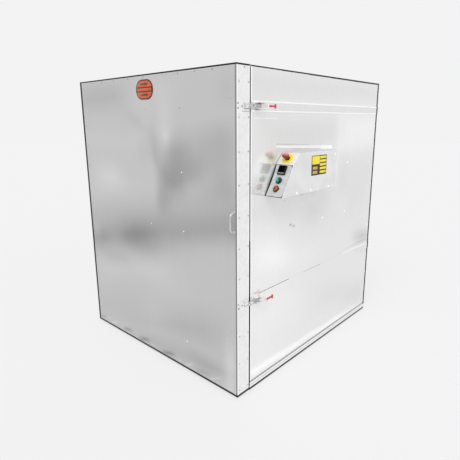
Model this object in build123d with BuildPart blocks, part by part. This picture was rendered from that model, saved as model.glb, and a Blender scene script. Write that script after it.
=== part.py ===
from build123d import *
from math import cos, radians, sin
import os

os.makedirs("parts", exist_ok=True)

# Box batch oven of galvanised sheet on a tube frame. Millimetres, +Z up. The origin is on the
# ground under the middle of the heated body. -Y is the door side and +X the side with the
# console and the latches.

# Body: an insulated cabinet, open at the front
body_width = 1350.0
body_depth = 1350.0
body_height = 1650.0
wall_thickness = 75.0
sheet = 1.5
liner_sheet = 1.2
fold_radius = 1.4

# Base frame of square tube, with the chamber floor on it
rail_size = 40.0
rail_wall = 3.0
rail_corner = 4.0
floor_thickness = 35.0

# Door, hinged at the left and closed against a rope seal
door_thickness = 90.0
door_gap = 9.0
door_ground_gap = 8.0
seal_width = 20.0
seal_inset = 12.0
seal_clearance = 0.3
seal_round = 3.5
front_sheet_round = 1.2

# Stiffening straps across both side walls, level with the latches and hinges. The upper
# ones keep their distance from the top and the lower ones from the ground.
strap_height = 50.0
strap_thickness = 2.0
strap_round = 0.8
strap_drop = 179.0
strap_rise = 513.0
levels = {"upper": body_height - strap_drop, "lower": strap_rise}

# Strap hinges on the left side: barrel, pin and two leaves each
hinge_barrel = 20.0
hinge_pin = 10.0
pin_clearance = 0.3
hinge_offset = 14.0
knuckle_length = 38.0
knuckle_gap = 1.0
leaf_thickness = 5.0
leaf_reach = 62.0
leaf_height = 90.0
leaf_corner = 8.0

# Pull handle on the opening edge of the door
handle_rod = 9.0
handle_centres = 96.0
handle_reach = 30.0
handle_bend = 25.0
handle_edge = 15.0
handle_height = 940.0
handle_foot = 17.0
handle_foot_height = 3.0

# Toggle latch: the base is on the strap, the hook pulls a lip on the door's edge
pivot_rise = 16.0
pivot_setback = 35.0
hook_arm = 13.0
latch_sheet = 2.2
ear_gap = 26.6
ear_radius = 8.0
ear_foot = 30.0
cheek_radius = 7.0
cheek_clearance = 0.5
web_radius = 5.0
web_setback = 35.0
lever_rise = 27.0
pivot_pin = 6.0
trunnion = 8.0
trunnion_pin = 4.0
trunnion_clearance = 0.3
hook_rod = 4.0
hook_centres = 16.0
hook_bend = 4.0
base_plate_width = 36.0
base_plate_length = 60.0
base_plate_setback = 7.5
plate_corner = 4.0
rivet_head = 10.0
rivet_head_height = 1.5

# Keeper on the door edge
keeper_setback = 23.0
keeper_sheet = 3.0
keeper_width = 28.0
keeper_length = 32.0
lip_width = 8.0
lip_root_width = 22.0
lip_root_height = 9.0
lip_round = 2.0
lip_over_hook = 3.0
hook_clearance = 0.3

# Lever shank with its T-ended grip
shank_width = 5.0
shank_thickness = 4.0
shank_length = 50.0
grip_start = 6.0
grip_length = 44.0
grip_diameter = 10.0
grip_waist = 8.4
grip_collar = 13.0
grip_collar_length = 3.0
tee_length = 21.0
tee_diameter = 10.0
tee_round = 3.5

# Console on the right wall, set back from the door side and hung below the upper strap
console_depth = 105.0
console_setback = 108.0
console_length = 522.0
console_drop = 431.0
lower_facet = 179.0
lower_tilt = 30.6
upper_facet = 78.0
upper_tilt = 45.0
console_round = 2.0
flange_height = 20.0
flange_setback = 87.0
flange_length = 555.0
flange_corner = 7.0
flange_tilt = 3.3

# Cover plate let into the console's lower facet
cover_rim = 1.5
cover_thickness = 3.0
cover_gap_wall = 3.0
cover_gap_bow = 5.0
cover_gap_bottom = 3.5
cover_gap_fold = 2.5
cover_gap_outer = 1.2
cover_notch = (5.0, 11.0)

# Controls, each at its height up the facet that carries it
lamp_height = 45.0
selector_height = 90.0
controller_height = 146.0
stop_height = 37.0
bezel_diameter = 34.0
bezel_height = 6.0
bezel_round = 1.5
lens_diameter = 25.0
lens_height = 11.0
lens_round = 3.5
knob_diameter = 24.4
knob_clearance = 0.3
knob_body_height = 8.0
knob_blade = (8.0, 23.0, 21.0)
knob_angle = 25.0
knob_round = 1.0
controller_width = 45.0
controller_length = 48.0
controller_height_out = 9.0
controller_window = (39.0, 33.0)
controller_window_rise = 4.5
controller_window_depth = 1.0
controller_round = 2.5
controller_chamfer = 1.0
stop_disc = 60.0
stop_disc_height = 2.0
stop_disc_round = 0.6
stop_collar = 26.0
stop_collar_height = 2.0
stop_stem = 16.4
stop_stem_clearance = 0.3
stop_stem_depth = 6.0
stop_bore_depth = 12.0
stop_travel = 4.0
stop_head = 39.0
stop_head_neck = 26.0
stop_head_height = 19.0
stop_head_crown = 3.5
stop_head_gap = 5.0
gland_flats = 24.0
gland_hex_height = 6.0
gland_diameter = 19.0
gland_height = 16.0
gland_round = 3.0
gland_cable = 9.0
gland_rise = 45.0

# Places that follow from the sizes above
right = body_width / 2
front = -body_depth / 2
back = body_depth / 2
top = body_height
inside = right - wall_thickness
chamber_floor = rail_size + floor_thickness
chamber_top = top - wall_thickness
chamber_back = back - wall_thickness
door_back = front - door_gap
door_front = door_back - door_thickness
strap_face = right + strap_thickness


def save(piece, name):
    piece.part.label = name
    export_step(piece.part, f"parts/{name}.step")


def block(name, x_range, y_range, z_range):
    """A plain slab between two corners, such as the insulation of one wall."""
    with BuildPart() as slab:
        with Locations((x_range[0], y_range[0], z_range[0])):
            Box(
                x_range[1] - x_range[0],
                y_range[1] - y_range[0],
                z_range[1] - z_range[0],
                align=(Align.MIN, Align.MIN, Align.MIN),
            )
    save(slab, name)


# Base frame: two side rails full length, three cross rails between them
def rail(name, start, direction, length):
    with BuildPart() as tube:
        with BuildSketch(Plane(origin=start, z_dir=direction)):
            RectangleRounded(rail_size, rail_size, rail_corner)
            bore = rail_size - 2 * rail_wall
            RectangleRounded(bore, bore, rail_corner - rail_wall, mode=Mode.SUBTRACT)
        extrude(amount=length)
    save(tube, name)


rail_outer = right - sheet
rail_axis = rail_outer - rail_size / 2
rail_inner = rail_outer - rail_size
cross_length = 2 * rail_inner
for side, sign in (("left", -1), ("right", 1)):
    rail(
        f"base_rail_{side}",
        (sign * rail_axis, front + sheet, rail_size / 2),
        (0, 1, 0),
        body_depth - 2 * sheet,
    )
cross_rails = {
    "front": front + sheet + rail_size / 2,
    "centre": 0,
    "back": back - sheet - rail_size / 2,
}
for place, y in cross_rails.items():
    rail(f"base_rail_{place}", (-rail_inner, y, rail_size / 2), (1, 0, 0), cross_length)

# Insulated walls between the outer skins and the chamber lining
core_outer = right - sheet
core_inner = inside + liner_sheet
core_front = front + sheet
core_back = chamber_back + liner_sheet
core_top = top - sheet
ceiling_top = chamber_top + liner_sheet
for side, sign in (("left", -1), ("right", 1)):
    x_range = sorted((sign * core_inner, sign * core_outer))
    block(f"{side}_wall", x_range, (core_front, back - sheet), (rail_size, core_top))
between = (-core_inner, core_inner)
block("back_wall", between, (core_back, back - sheet), (rail_size, core_top))
block("roof_panel", between, (core_front, core_back), (ceiling_top, core_top))
block("floor_panel", between, (core_front, core_back), (rail_size, chamber_floor - liner_sheet))


# Outer skins: folded sheets that return over the front edge of each wall
def side_skin(side, sign):
    corner = (sign * right, front)
    with BuildPart() as skin:
        with BuildSketch(Plane.XY.offset(rail_size)) as section:
            with BuildLine():
                Polyline(
                    (sign * right, back),
                    corner,
                    (sign * core_inner, front),
                    (sign * core_inner, core_front),
                    (sign * core_outer, core_front),
                    (sign * core_outer, back),
                    close=True,
                )
            make_face()
            bend = section.vertices().sort_by_distance(corner)[0]
            fillet(bend, radius=fold_radius)
        extrude(amount=core_top - rail_size)
    save(skin, f"{side}_skin")


side_skin("left", -1)
side_skin("right", 1)
block("back_skin", (-core_outer, core_outer), (back - sheet, back), (rail_size, core_top))

with BuildPart() as roof_skin:
    with BuildSketch(Plane.YZ) as roof_section:
        with BuildLine():
            Polyline(
                (back, top),
                (front, top),
                (front, core_top),
                (core_front, core_top),
                (back, core_top),
                close=True,
            )
        make_face()
        fillet(roof_section.vertices().sort_by_distance((0, front, top))[0], radius=fold_radius)
    extrude(amount=right, both=True)
    with BuildSketch(Plane.YZ):
        with BuildLine():
            Polyline(
                (front, core_top),
                (front, ceiling_top),
                (core_front, ceiling_top),
                (core_front, core_top),
                close=True,
            )
        make_face()
    extrude(amount=core_inner, both=True)
save(roof_skin, "roof_skin")

# Chamber lining: one welded tub, open at the front, with a sill lip over the floor's edge
with BuildPart() as chamber_liner:
    with BuildSketch(Plane.XZ.offset(-front)):
        with Locations((0, (chamber_floor + chamber_top) / 2)):
            tub_height = chamber_top - chamber_floor + 2 * liner_sheet
            Rectangle(2 * core_inner, tub_height)
    extrude(amount=front - core_back)
    mouth = chamber_liner.faces().sort_by(Axis.Y)[0]
    offset(amount=-liner_sheet, openings=mouth)
    with Locations((0, front, rail_size)):
        Box(
            2 * core_inner,
            sheet,
            chamber_floor - liner_sheet - rail_size,
            align=(Align.CENTER, Align.MIN, Align.MIN),
        )
save(chamber_liner, "chamber_liner")

# Rope seal round the mouth, in the gap between the body and the door
with BuildPart() as door_seal:
    seal_top = top - seal_inset
    seal_bottom = rail_size + seal_clearance + (chamber_floor - rail_size - seal_width) / 2
    seal_half = right - seal_inset
    with BuildSketch(Plane.XZ.offset(-front)):
        with Locations((0, (seal_top + seal_bottom) / 2)):
            height = seal_top - seal_bottom
            RectangleRounded(2 * seal_half, height, seal_width)
            RectangleRounded(
                2 * seal_half - 2 * seal_width,
                height - 2 * seal_width,
                seal_width / 2,
                mode=Mode.SUBTRACT,
            )
    extrude(amount=door_gap - seal_clearance)
    rim = door_seal.faces().sort_by(Axis.Y)[0].edges()
    fillet(rim, radius=seal_round)
save(door_seal, "door_seal")


# Straps: flat bars along the side walls with eased edges
def strap(side, sign, level, height):
    with BuildPart() as bar:
        with Locations((sign * (right + strap_thickness / 2), 0, height)):
            Box(strap_thickness, body_depth, strap_height)
        outer = bar.faces().sort_by(Axis.X)[-1 if sign > 0 else 0]
        chamfer(outer.edges().filter_by(Axis.Y), length=strap_round)
    save(bar, f"{side}_strap_{level}")


for side, sign in (("left", -1), ("right", 1)):
    for level, height in levels.items():
        strap(side, sign, level, height)

# Door: insulated core in a ring of edge strip, under a front sheet, lined at the back
door_bottom = door_ground_gap
door_sheet_back = door_front + sheet
door_liner_front = door_back - liner_sheet
door_half = right - sheet
door_height_range = (door_bottom + sheet, top - sheet)
with BuildPart() as door_front_sheet:
    with BuildSketch(Plane.XZ.offset(-door_sheet_back)):
        with Locations((0, (door_bottom + top) / 2)):
            Rectangle(2 * right, top - door_bottom)
    extrude(amount=sheet)
    fillet(door_front_sheet.faces().sort_by(Axis.Y)[0].edges(), radius=front_sheet_round)
save(door_front_sheet, "door_front_sheet")
block(
    "door_core",
    (-door_half, door_half),
    (door_sheet_back, door_liner_front),
    door_height_range,
)
block(
    "door_liner",
    (-door_half, door_half),
    (door_liner_front, door_back),
    door_height_range,
)
with BuildPart() as door_edge_strip:
    with BuildSketch(Plane.XZ.offset(-door_back)):
        with Locations((0, (door_bottom + top) / 2)):
            Rectangle(2 * right, top - door_bottom)
            Rectangle(2 * door_half, top - door_bottom - 2 * sheet, mode=Mode.SUBTRACT)
    extrude(amount=door_back - door_sheet_back)
save(door_edge_strip, "door_edge_strip")

# Pull handle: a bent rod on two turned feet
with BuildPart() as pull_handle:
    handle_x = right - handle_edge
    handle_ends = (
        handle_height - handle_centres / 2,
        handle_height + handle_centres / 2,
    )
    with BuildLine(Plane.YZ.offset(handle_x)) as handle_path:
        FilletPolyline(
            (door_front, handle_ends[0]),
            (door_front - handle_reach, handle_ends[0]),
            (door_front - handle_reach, handle_ends[1]),
            (door_front, handle_ends[1]),
            radius=handle_bend,
        )
    with BuildSketch(Plane(origin=handle_path.line @ 0, z_dir=handle_path.line % 0)):
        Circle(handle_rod / 2)
    sweep()
    with BuildSketch(Plane.XZ.offset(-door_front)):
        with Locations(*[(handle_x, z) for z in handle_ends]):
            Circle(handle_foot / 2)
    extrude(amount=handle_foot_height)
save(pull_handle, "pull_handle")

# Hinges: the pin and outer knuckles are on the body, the middle knuckle is on the door
hinge_x = -right - hinge_offset
hinge_y = (front + door_back) / 2


def hinge_leaf(inner_face, reach, height):
    """A flat leaf from the barrel's line along the wall, rounded at its free corners."""
    with Locations((inner_face, hinge_y, height)):
        Box(
            leaf_thickness,
            abs(reach),
            leaf_height,
            align=(Align.MAX, Align.MIN if reach > 0 else Align.MAX, Align.CENTER),
        )


def body_hinge(level, height):
    with BuildPart() as hinge:
        hinge_leaf(-strap_face, leaf_reach, height)
        free_end = hinge.faces().sort_by(Axis.Y)[-1]
        fillet(free_end.edges().filter_by(Axis.X), radius=leaf_corner)
        with Locations((hinge_x, hinge_y, height)):
            barrel_length = 3 * knuckle_length + 2 * knuckle_gap
            Cylinder(hinge_barrel / 2, barrel_length)
            window = knuckle_length + 2 * knuckle_gap
            Box(
                hinge_barrel + 2 * hinge_offset,
                hinge_barrel + 2 * pin_clearance,
                window,
                mode=Mode.SUBTRACT,
            )
            Cylinder(hinge_pin / 2, barrel_length)
    save(hinge, f"hinge_body_{level}")


def door_hinge(level, height):
    with BuildPart() as hinge:
        with Locations((-right, hinge_y, height)):
            Box(
                leaf_thickness,
                leaf_reach,
                knuckle_length,
                align=(Align.MAX, Align.MAX, Align.CENTER),
            )
        with Locations((-right, hinge_y - hinge_barrel / 2 - door_gap, height)):
            Box(
                leaf_thickness,
                leaf_reach - hinge_barrel / 2 - door_gap,
                leaf_height,
                align=(Align.MAX, Align.MAX, Align.CENTER),
            )
        free_end = hinge.faces().sort_by(Axis.Y)[0]
        fillet(free_end.edges().filter_by(Axis.X), radius=leaf_corner)
        with Locations((hinge_x, hinge_y, height)):
            Cylinder(hinge_barrel / 2, knuckle_length)
            Cylinder(hinge_pin / 2 + pin_clearance, knuckle_length, mode=Mode.SUBTRACT)
    save(hinge, f"hinge_door_{level}")


for level, height in levels.items():
    body_hinge(level, height)
    door_hinge(level, height)

# Toggle latches, closed. The lever turns on the ears of the base and carries the trunnion
# of the U-shaped hook one hook_arm behind its own pivot.
pivot_x = strap_face + pivot_rise
pivot_y = front + pivot_setback
trunnion_y = pivot_y + hook_arm
lip_back = door_back - keeper_setback + keeper_sheet
lip_front = lip_back - keeper_sheet
crossbar_y = lip_front - hook_clearance - hook_rod / 2
cheek_outer = ear_gap / 2 - cheek_clearance
cheek_inner = cheek_outer - latch_sheet
web_x = pivot_x + lever_rise
web_y = pivot_y + web_setback


def latch_base(level, height):
    with BuildPart() as base:
        with BuildSketch(Plane.YZ.offset(strap_face)):
            with Locations((pivot_y + base_plate_setback, height)):
                RectangleRounded(base_plate_length, base_plate_width, plate_corner)
        extrude(amount=latch_sheet)
        for ear_side in (-1, 1):
            inner = height + ear_side * ear_gap / 2
            with BuildSketch(Plane.XY.offset(inner)):
                with Locations((pivot_x, pivot_y)):
                    Circle(ear_radius)
                with Locations((strap_face + latch_sheet, pivot_y)):
                    Rectangle(latch_sheet, ear_foot)
                make_hull()
            extrude(amount=ear_side * latch_sheet)
            with BuildSketch(Plane.XY.offset(height + ear_side * cheek_inner)):
                with Locations((pivot_x, pivot_y)):
                    Circle(pivot_pin / 2)
            extrude(amount=ear_side * (ear_gap / 2 - cheek_inner))
            with BuildSketch(Plane.XY.offset(inner + ear_side * latch_sheet)):
                with Locations((pivot_x, pivot_y)):
                    Circle(rivet_head / 2)
            extrude(amount=ear_side * rivet_head_height)
    save(base, f"latch_base_{level}")


def lever_shank(height, mode=Mode.ADD):
    """The flat bar from the lever's web into the grip."""
    with Locations((web_x, web_y, height)):
        Box(
            shank_thickness,
            shank_length,
            shank_width,
            align=(Align.CENTER, Align.MIN, Align.CENTER),
            mode=mode,
        )


def latch_lever(level, height):
    with BuildPart() as lever:
        for cheek_side in (-1, 1):
            with BuildSketch(Plane.XY.offset(height + cheek_side * cheek_inner)):
                with Locations((pivot_x, pivot_y), (pivot_x, trunnion_y)):
                    Circle(cheek_radius)
                with Locations((web_x, web_y)):
                    Circle(web_radius)
                make_hull()
                with Locations((pivot_x, pivot_y)):
                    Circle(pivot_pin / 2 + pin_clearance, mode=Mode.SUBTRACT)
                with Locations((pivot_x, trunnion_y)):
                    Circle(trunnion_pin / 2 + pin_clearance, mode=Mode.SUBTRACT)
            extrude(amount=cheek_side * latch_sheet)
        with Locations((web_x, web_y, height)):
            Cylinder(web_radius, 2 * cheek_inner)
        lever_shank(height)
    save(lever, f"latch_lever_{level}")


def latch_grip(level, height):
    start = web_y + grip_start
    end = start + grip_length
    tee_y = end + tee_diameter / 2
    with BuildPart() as grip:
        with BuildSketch(Plane.XY.offset(height)):
            with BuildLine():
                outer = web_x + grip_diameter / 2
                waist = web_x + grip_waist / 2
                collar = web_x + grip_collar / 2
                Polyline(
                    (waist, tee_y),
                    (web_x, tee_y),
                    (web_x, start),
                    (collar, start),
                    (collar, start + grip_collar_length),
                    (outer, start + 2 * grip_collar_length),
                )
                Spline(
                    (outer, start + 2 * grip_collar_length),
                    (outer, start + grip_length / 2),
                    (waist, end),
                    tangents=((0, 1), (0, 1)),
                )
                Line((waist, end), (waist, tee_y))
            make_face()
        revolve(axis=Axis((web_x, 0, height), (0, 1, 0)))
        with Locations((web_x, tee_y, height)):
            Cylinder(tee_diameter / 2, tee_length)
        caps = grip.faces().filter_by(GeomType.PLANE).sort_by(Axis.Z)
        fillet((caps[0].edges() + caps[-1].edges()), radius=tee_round)
        lever_shank(height, Mode.SUBTRACT)
    save(grip, f"latch_grip_{level}")


def latch_hook(level, height):
    leg = hook_centres / 2
    with BuildPart() as hook:
        with BuildLine(Plane.YZ.offset(pivot_x)) as bolt:
            FilletPolyline(
                (trunnion_y, height - leg),
                (crossbar_y, height - leg),
                (crossbar_y, height + leg),
                (trunnion_y, height + leg),
                radius=hook_bend,
            )
        with BuildSketch(Plane(origin=bolt.line @ 0, z_dir=bolt.line % 0)):
            Circle(hook_rod / 2)
        sweep()
        with Locations((pivot_x, trunnion_y, height)):
            Cylinder(trunnion / 2, 2 * (cheek_inner - trunnion_clearance))
            Cylinder(trunnion_pin / 2, 2 * cheek_outer)
    save(hook, f"latch_hook_{level}")


def keeper(level, height):
    with BuildPart() as plate:
        with BuildSketch(Plane.YZ.offset(right)):
            with Locations((lip_front, height)):
                RectangleRounded(keeper_length, keeper_width, plate_corner)
        extrude(amount=keeper_sheet)
        with BuildSketch(Plane.XZ.offset(-lip_back)) as lip:
            lip_top = pivot_x + hook_rod / 2 + lip_over_hook
            with BuildLine():
                Polyline(
                    (right, height - lip_root_width / 2),
                    (right + lip_root_height, height - lip_width / 2),
                    (lip_top, height - lip_width / 2),
                    (lip_top, height + lip_width / 2),
                    (right + lip_root_height, height + lip_width / 2),
                    (right, height + lip_root_width / 2),
                    close=True,
                )
            make_face()
            tip = lip.vertices().group_by(Axis.X)[-1]
            fillet(tip, radius=lip_round)
        extrude(amount=keeper_sheet)
    save(plate, f"keeper_{level}")


for level, height in levels.items():
    latch_base(level, height)
    latch_lever(level, height)
    latch_grip(level, height)
    latch_hook(level, height)
    keeper(level, height)

# Console: two sloping facets under a flat top, with a recess for the cover plate
console_middle = right + console_depth / 2
console_front = front + console_setback
console_back = console_front + console_length
console_bottom = levels["upper"] - console_drop
flange_front = console_front + flange_setback
fold_y = console_front + lower_facet * sin(radians(lower_tilt))
fold_z = console_bottom + lower_facet * cos(radians(lower_tilt))
brow_y = fold_y + upper_facet * sin(radians(upper_tilt))
brow_z = fold_z + upper_facet * cos(radians(upper_tilt))


def facet_plane(y, z, tilt):
    """The plane of a facet: X across, Y up the slope, Z out of it."""
    normal = (0, -cos(radians(tilt)), sin(radians(tilt)))
    return Plane(origin=(console_middle, y, z), x_dir=(1, 0, 0), z_dir=normal)


lower_plane = facet_plane(console_front, console_bottom, lower_tilt)
upper_plane = facet_plane(fold_y, fold_z, upper_tilt)

recess_left = -console_depth / 2 + cover_rim
recess_right = console_depth / 2 - cover_rim
recess_low = cover_rim
recess_high = lower_facet - cover_rim


def corner_rectangle(left, right_edge, low, high):
    """A sketch rectangle given by its four sides."""
    with Locations(((left + right_edge) / 2, (low + high) / 2)):
        Rectangle(right_edge - left, high - low)


with BuildPart() as console:
    with BuildSketch(Plane.YZ.offset(right)):
        with BuildLine():
            Polyline(
                (console_front, console_bottom),
                (fold_y, fold_z),
                (brow_y, brow_z),
                (console_back, brow_z),
                (console_back, console_bottom),
                close=True,
            )
        make_face()
    extrude(amount=console_depth)
    outer_face = console.faces().sort_by(Axis.X)[-1]
    fillet(outer_face.edges(), radius=console_round)
    with BuildSketch(lower_plane):
        corner_rectangle(recess_left, recess_right, recess_low, recess_high)
    extrude(amount=-cover_thickness, mode=Mode.SUBTRACT)
    with BuildSketch(upper_plane):
        with Locations((0, stop_height)):
            Circle(stop_stem / 2 + stop_stem_clearance)
    extrude(amount=-stop_bore_depth, mode=Mode.SUBTRACT)
save(console, "console")

# The flange on the wall starts from the console's rear top edge and climbs towards the front
with BuildPart() as console_flange:
    with Locations(Location((right, console_back, brow_z), (-flange_tilt, 0, 0))):
        with Locations((0, flange_front - console_back, 0)):
            Box(
                sheet,
                flange_length,
                flange_height,
                align=(Align.MIN, Align.MIN, Align.MIN),
            )
    tilt = radians(flange_tilt)
    across = Axis((right, console_back, brow_z), (0, sin(tilt), cos(tilt)))
    chamfer(console_flange.edges().filter_by(Axis.X).sort_by(across)[-2:], length=flange_corner)
save(console_flange, "console_flange")

with BuildPart() as cover_plate:
    cover_left = recess_left + cover_gap_wall
    cover_right = recess_right - cover_gap_outer
    cover_low = recess_low + cover_gap_bottom
    cover_high = recess_high - cover_gap_fold
    notch_width, notch_length = cover_notch
    with BuildSketch(lower_plane.offset(-cover_thickness)):
        with BuildLine():
            Polyline(
                (cover_left, cover_low),
                (cover_right - notch_width, cover_low),
                (cover_right - notch_width, cover_low + notch_length / 2),
                (cover_right, cover_low + notch_length),
                (cover_right, cover_high - notch_length),
                (cover_right - notch_width, cover_high - notch_length / 2),
                (cover_right - notch_width, cover_high),
                (cover_left, cover_high),
            )
            ThreePointArc(
                (cover_left, cover_high),
                (cover_left + cover_gap_bow, (cover_low + cover_high) / 2),
                (cover_left, cover_low),
            )
        make_face()
    extrude(amount=cover_thickness)
save(cover_plate, "cover_plate")

# Controls on the cover plate
with BuildPart() as controller:
    with BuildSketch(lower_plane):
        with Locations((0, controller_height)):
            RectangleRounded(controller_width, controller_length, controller_round)
    extrude(amount=controller_height_out)
    face = controller.faces().sort_by_distance(
        lower_plane.from_local_coords((0, controller_height, 2 * controller_height_out))
    )[0]
    chamfer(face.edges(), length=controller_chamfer)
    with BuildSketch(lower_plane.offset(controller_height_out)):
        with Locations((0, controller_height + controller_window_rise)):
            RectangleRounded(*controller_window, controller_round)
    extrude(amount=-controller_window_depth, mode=Mode.SUBTRACT)
save(controller, "controller")


def bezel(name, height_up):
    """A turned ring with an eased rim, round the bore that takes a 22 mm control."""
    with BuildPart() as ring:
        with BuildSketch(lower_plane):
            with Locations((0, height_up)):
                Circle(bezel_diameter / 2)
                Circle(lens_diameter / 2, mode=Mode.SUBTRACT)
        extrude(amount=bezel_height)
        rim_at = lower_plane.from_local_coords((0, height_up, 2 * bezel_height))
        rim_face = ring.faces().filter_by(GeomType.PLANE).sort_by_distance(rim_at)[0]
        chamfer(rim_face.outer_wire().edges(), length=bezel_round)
    save(ring, name)


bezel("pilot_bezel", lamp_height)
bezel("selector_bezel", selector_height)

with BuildPart() as pilot_lens:
    lens_plane = Plane(
        origin=lower_plane.from_local_coords((0, lamp_height, 0)),
        x_dir=(1, 0, 0),
        z_dir=lower_plane.z_dir,
    )
    with BuildSketch(lens_plane):
        Circle(lens_diameter / 2)
    extrude(amount=lens_height)
    lens_top = pilot_lens.faces().sort_by(Axis(lens_plane.origin, lens_plane.z_dir))[-1]
    fillet(lens_top.edges(), radius=lens_round)
save(pilot_lens, "pilot_lens")

with BuildPart() as selector_knob:
    knob_plane = Plane(
        origin=lower_plane.from_local_coords((0, selector_height, knob_clearance)),
        x_dir=(1, 0, 0),
        z_dir=lower_plane.z_dir,
    )
    with BuildSketch(knob_plane):
        Circle(knob_diameter / 2)
    extrude(amount=knob_body_height)
    blade_width, blade_length, blade_height = knob_blade
    with BuildSketch(knob_plane.offset(knob_body_height)):
        with Locations(Location((0, 0, 0), (0, 0, knob_angle))):
            SlotOverall(blade_length, blade_width, rotation=90)
    extrude(amount=blade_height - knob_body_height)
    blade_top = selector_knob.faces().sort_by(Axis(knob_plane.origin, knob_plane.z_dir))[-1]
    chamfer(blade_top.edges(), length=knob_round)
save(selector_knob, "selector_knob")

# Stop button on the upper facet: yellow disc, collar and a mushroom head that slides in
stop_plane = Plane(
    origin=upper_plane.from_local_coords((0, stop_height, 0)),
    x_dir=(1, 0, 0),
    z_dir=upper_plane.z_dir,
)
stop_axis = Axis(stop_plane.origin, stop_plane.z_dir)
collar_top = stop_disc_height + stop_collar_height
head_bottom = collar_top + stop_travel + stop_head_gap

with BuildPart() as stop_plate:
    with BuildSketch(stop_plane):
        Circle(stop_disc / 2)
        Circle(stop_stem / 2 + stop_stem_clearance, mode=Mode.SUBTRACT)
    extrude(amount=stop_disc_height)
    disc_face = stop_plate.faces().sort_by(stop_axis)[-1]
    chamfer(disc_face.outer_wire().edges(), length=stop_disc_round)
save(stop_plate, "stop_plate")

with BuildPart() as stop_collar_ring:
    with BuildSketch(stop_plane.offset(stop_disc_height)):
        Circle(stop_collar / 2)
        Circle(stop_stem / 2 + stop_stem_clearance, mode=Mode.SUBTRACT)
    extrude(amount=stop_collar_height)
save(stop_collar_ring, "stop_collar")

with BuildPart() as stop_button:
    half_section = Plane(
        origin=stop_plane.origin,
        x_dir=(1, 0, 0),
        z_dir=stop_plane.y_dir * -1,
    )
    with BuildSketch(half_section):
        with BuildLine():
            crown = head_bottom + stop_head_height
            shoulder = crown - stop_head_crown
            Polyline(
                (0, crown),
                (0, -stop_stem_depth),
                (stop_stem / 2, -stop_stem_depth),
                (stop_stem / 2, head_bottom),
                (stop_head_neck / 2, head_bottom),
                (stop_head / 2, shoulder),
            )
            Spline(
                (stop_head / 2, shoulder),
                (0, crown),
                tangents=((0, 1), (-1, 0)),
            )
        make_face()
    revolve(axis=stop_axis)
save(stop_button, "stop_button")

# Cable gland on the console's rear end
with BuildPart() as cable_gland:
    gland_plane = Plane(
        origin=(console_middle, console_back, console_bottom + gland_rise),
        x_dir=(1, 0, 0),
        z_dir=(0, 1, 0),
    )
    with BuildSketch(gland_plane):
        RegularPolygon(gland_flats / 2, 6, major_radius=False)
    extrude(amount=gland_hex_height)
    with BuildSketch(gland_plane.offset(gland_hex_height)):
        Circle(gland_diameter / 2)
    extrude(amount=gland_height)
    nut_end = cable_gland.faces().sort_by(Axis.Y)[-1]
    fillet(nut_end.edges(), radius=gland_round)
    with BuildSketch(gland_plane.offset(gland_hex_height + gland_height)):
        Circle(gland_cable / 2)
    extrude(amount=-gland_height, mode=Mode.SUBTRACT)
save(cable_gland, "cable_gland")
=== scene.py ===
# %% [markdown]
# # A powder coating oven
# A box oven cures sprayed parts. It is an insulated cabinet of galvanised sheet on a low tube
# frame, with one door that two toggle latches pull against a rope seal, and a sloping console
# on the right wall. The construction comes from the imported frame. This lesson gives it its
# finishes and adds what is too small for the construction: rivets, screws, plates and marks.

# %% Load the frame
import math

import bmesh
import bpy
from mathutils import Matrix, Vector


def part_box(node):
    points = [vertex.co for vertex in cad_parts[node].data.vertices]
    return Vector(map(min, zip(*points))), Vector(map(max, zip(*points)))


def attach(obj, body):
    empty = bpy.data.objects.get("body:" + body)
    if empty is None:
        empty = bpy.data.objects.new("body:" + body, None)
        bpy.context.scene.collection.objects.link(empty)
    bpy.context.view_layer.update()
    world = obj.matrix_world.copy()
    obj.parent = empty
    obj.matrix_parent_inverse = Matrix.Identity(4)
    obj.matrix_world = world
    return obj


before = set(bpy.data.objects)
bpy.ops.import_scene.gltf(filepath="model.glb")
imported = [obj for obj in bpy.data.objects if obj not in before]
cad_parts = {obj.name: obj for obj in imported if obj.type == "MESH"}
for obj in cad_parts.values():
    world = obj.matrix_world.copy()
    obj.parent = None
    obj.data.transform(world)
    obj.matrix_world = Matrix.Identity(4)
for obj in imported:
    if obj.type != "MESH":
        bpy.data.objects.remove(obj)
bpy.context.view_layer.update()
bpy.ops.object.select_all(action="DESELECT")

# %% [markdown]
# ## Camera
# The photograph was taken from head height, to the right of the door's opening edge. Its lens
# and place were worked out from the corners of the cabinet. A picture that was cropped has its
# optical centre away from the middle, and a small lens shift repeats that.

# %% Camera
MM = 0.001
PICTURE_SIDE = 460.0
FOCAL_PIXELS = 415.9
OPTICAL_CENTRE = (236.3, 219.4)
CAMERA_PLACE = (1.9391, -2.1748, 1.4018)
CAMERA_YAW = 42.087
CAMERA_PITCH = -13.231
CAMERA_ROLL = 0.205

bpy.ops.object.camera_add(
    location=CAMERA_PLACE,
    rotation=(
        math.radians(90 + CAMERA_PITCH),
        math.radians(CAMERA_ROLL),
        math.radians(CAMERA_YAW),
    ),
)
camera = bpy.context.object
camera.name = "camera"
camera.data.sensor_width = 36.0
camera.data.lens = FOCAL_PIXELS / PICTURE_SIDE * camera.data.sensor_width
camera.data.shift_x = (PICTURE_SIDE / 2 - OPTICAL_CENTRE[0]) / PICTURE_SIDE
camera.data.shift_y = (OPTICAL_CENTRE[1] - PICTURE_SIDE / 2) / PICTURE_SIDE
bpy.context.scene.camera = camera
print("lens", round(camera.data.lens, 2), "mm")

# %% [markdown]
# ## Colours and nodes
# Colours are easiest to pick as sRGB hex values, as a paint chip or a photograph gives them.
# Shaders work in linear light, so one function converts them. A second function adds a node
# with its settings and links, which keeps each material short enough to read.

# %% Helpers for materials


def linear(code):
    """An sRGB hex colour as linear RGBA."""
    channels = [int(code[i : i + 2], 16) / 255 for i in (1, 3, 5)]
    values = [c / 12.92 if c <= 0.04045 else ((c + 0.055) / 1.055) ** 2.4 for c in channels]
    return (*values, 1.0)


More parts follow.
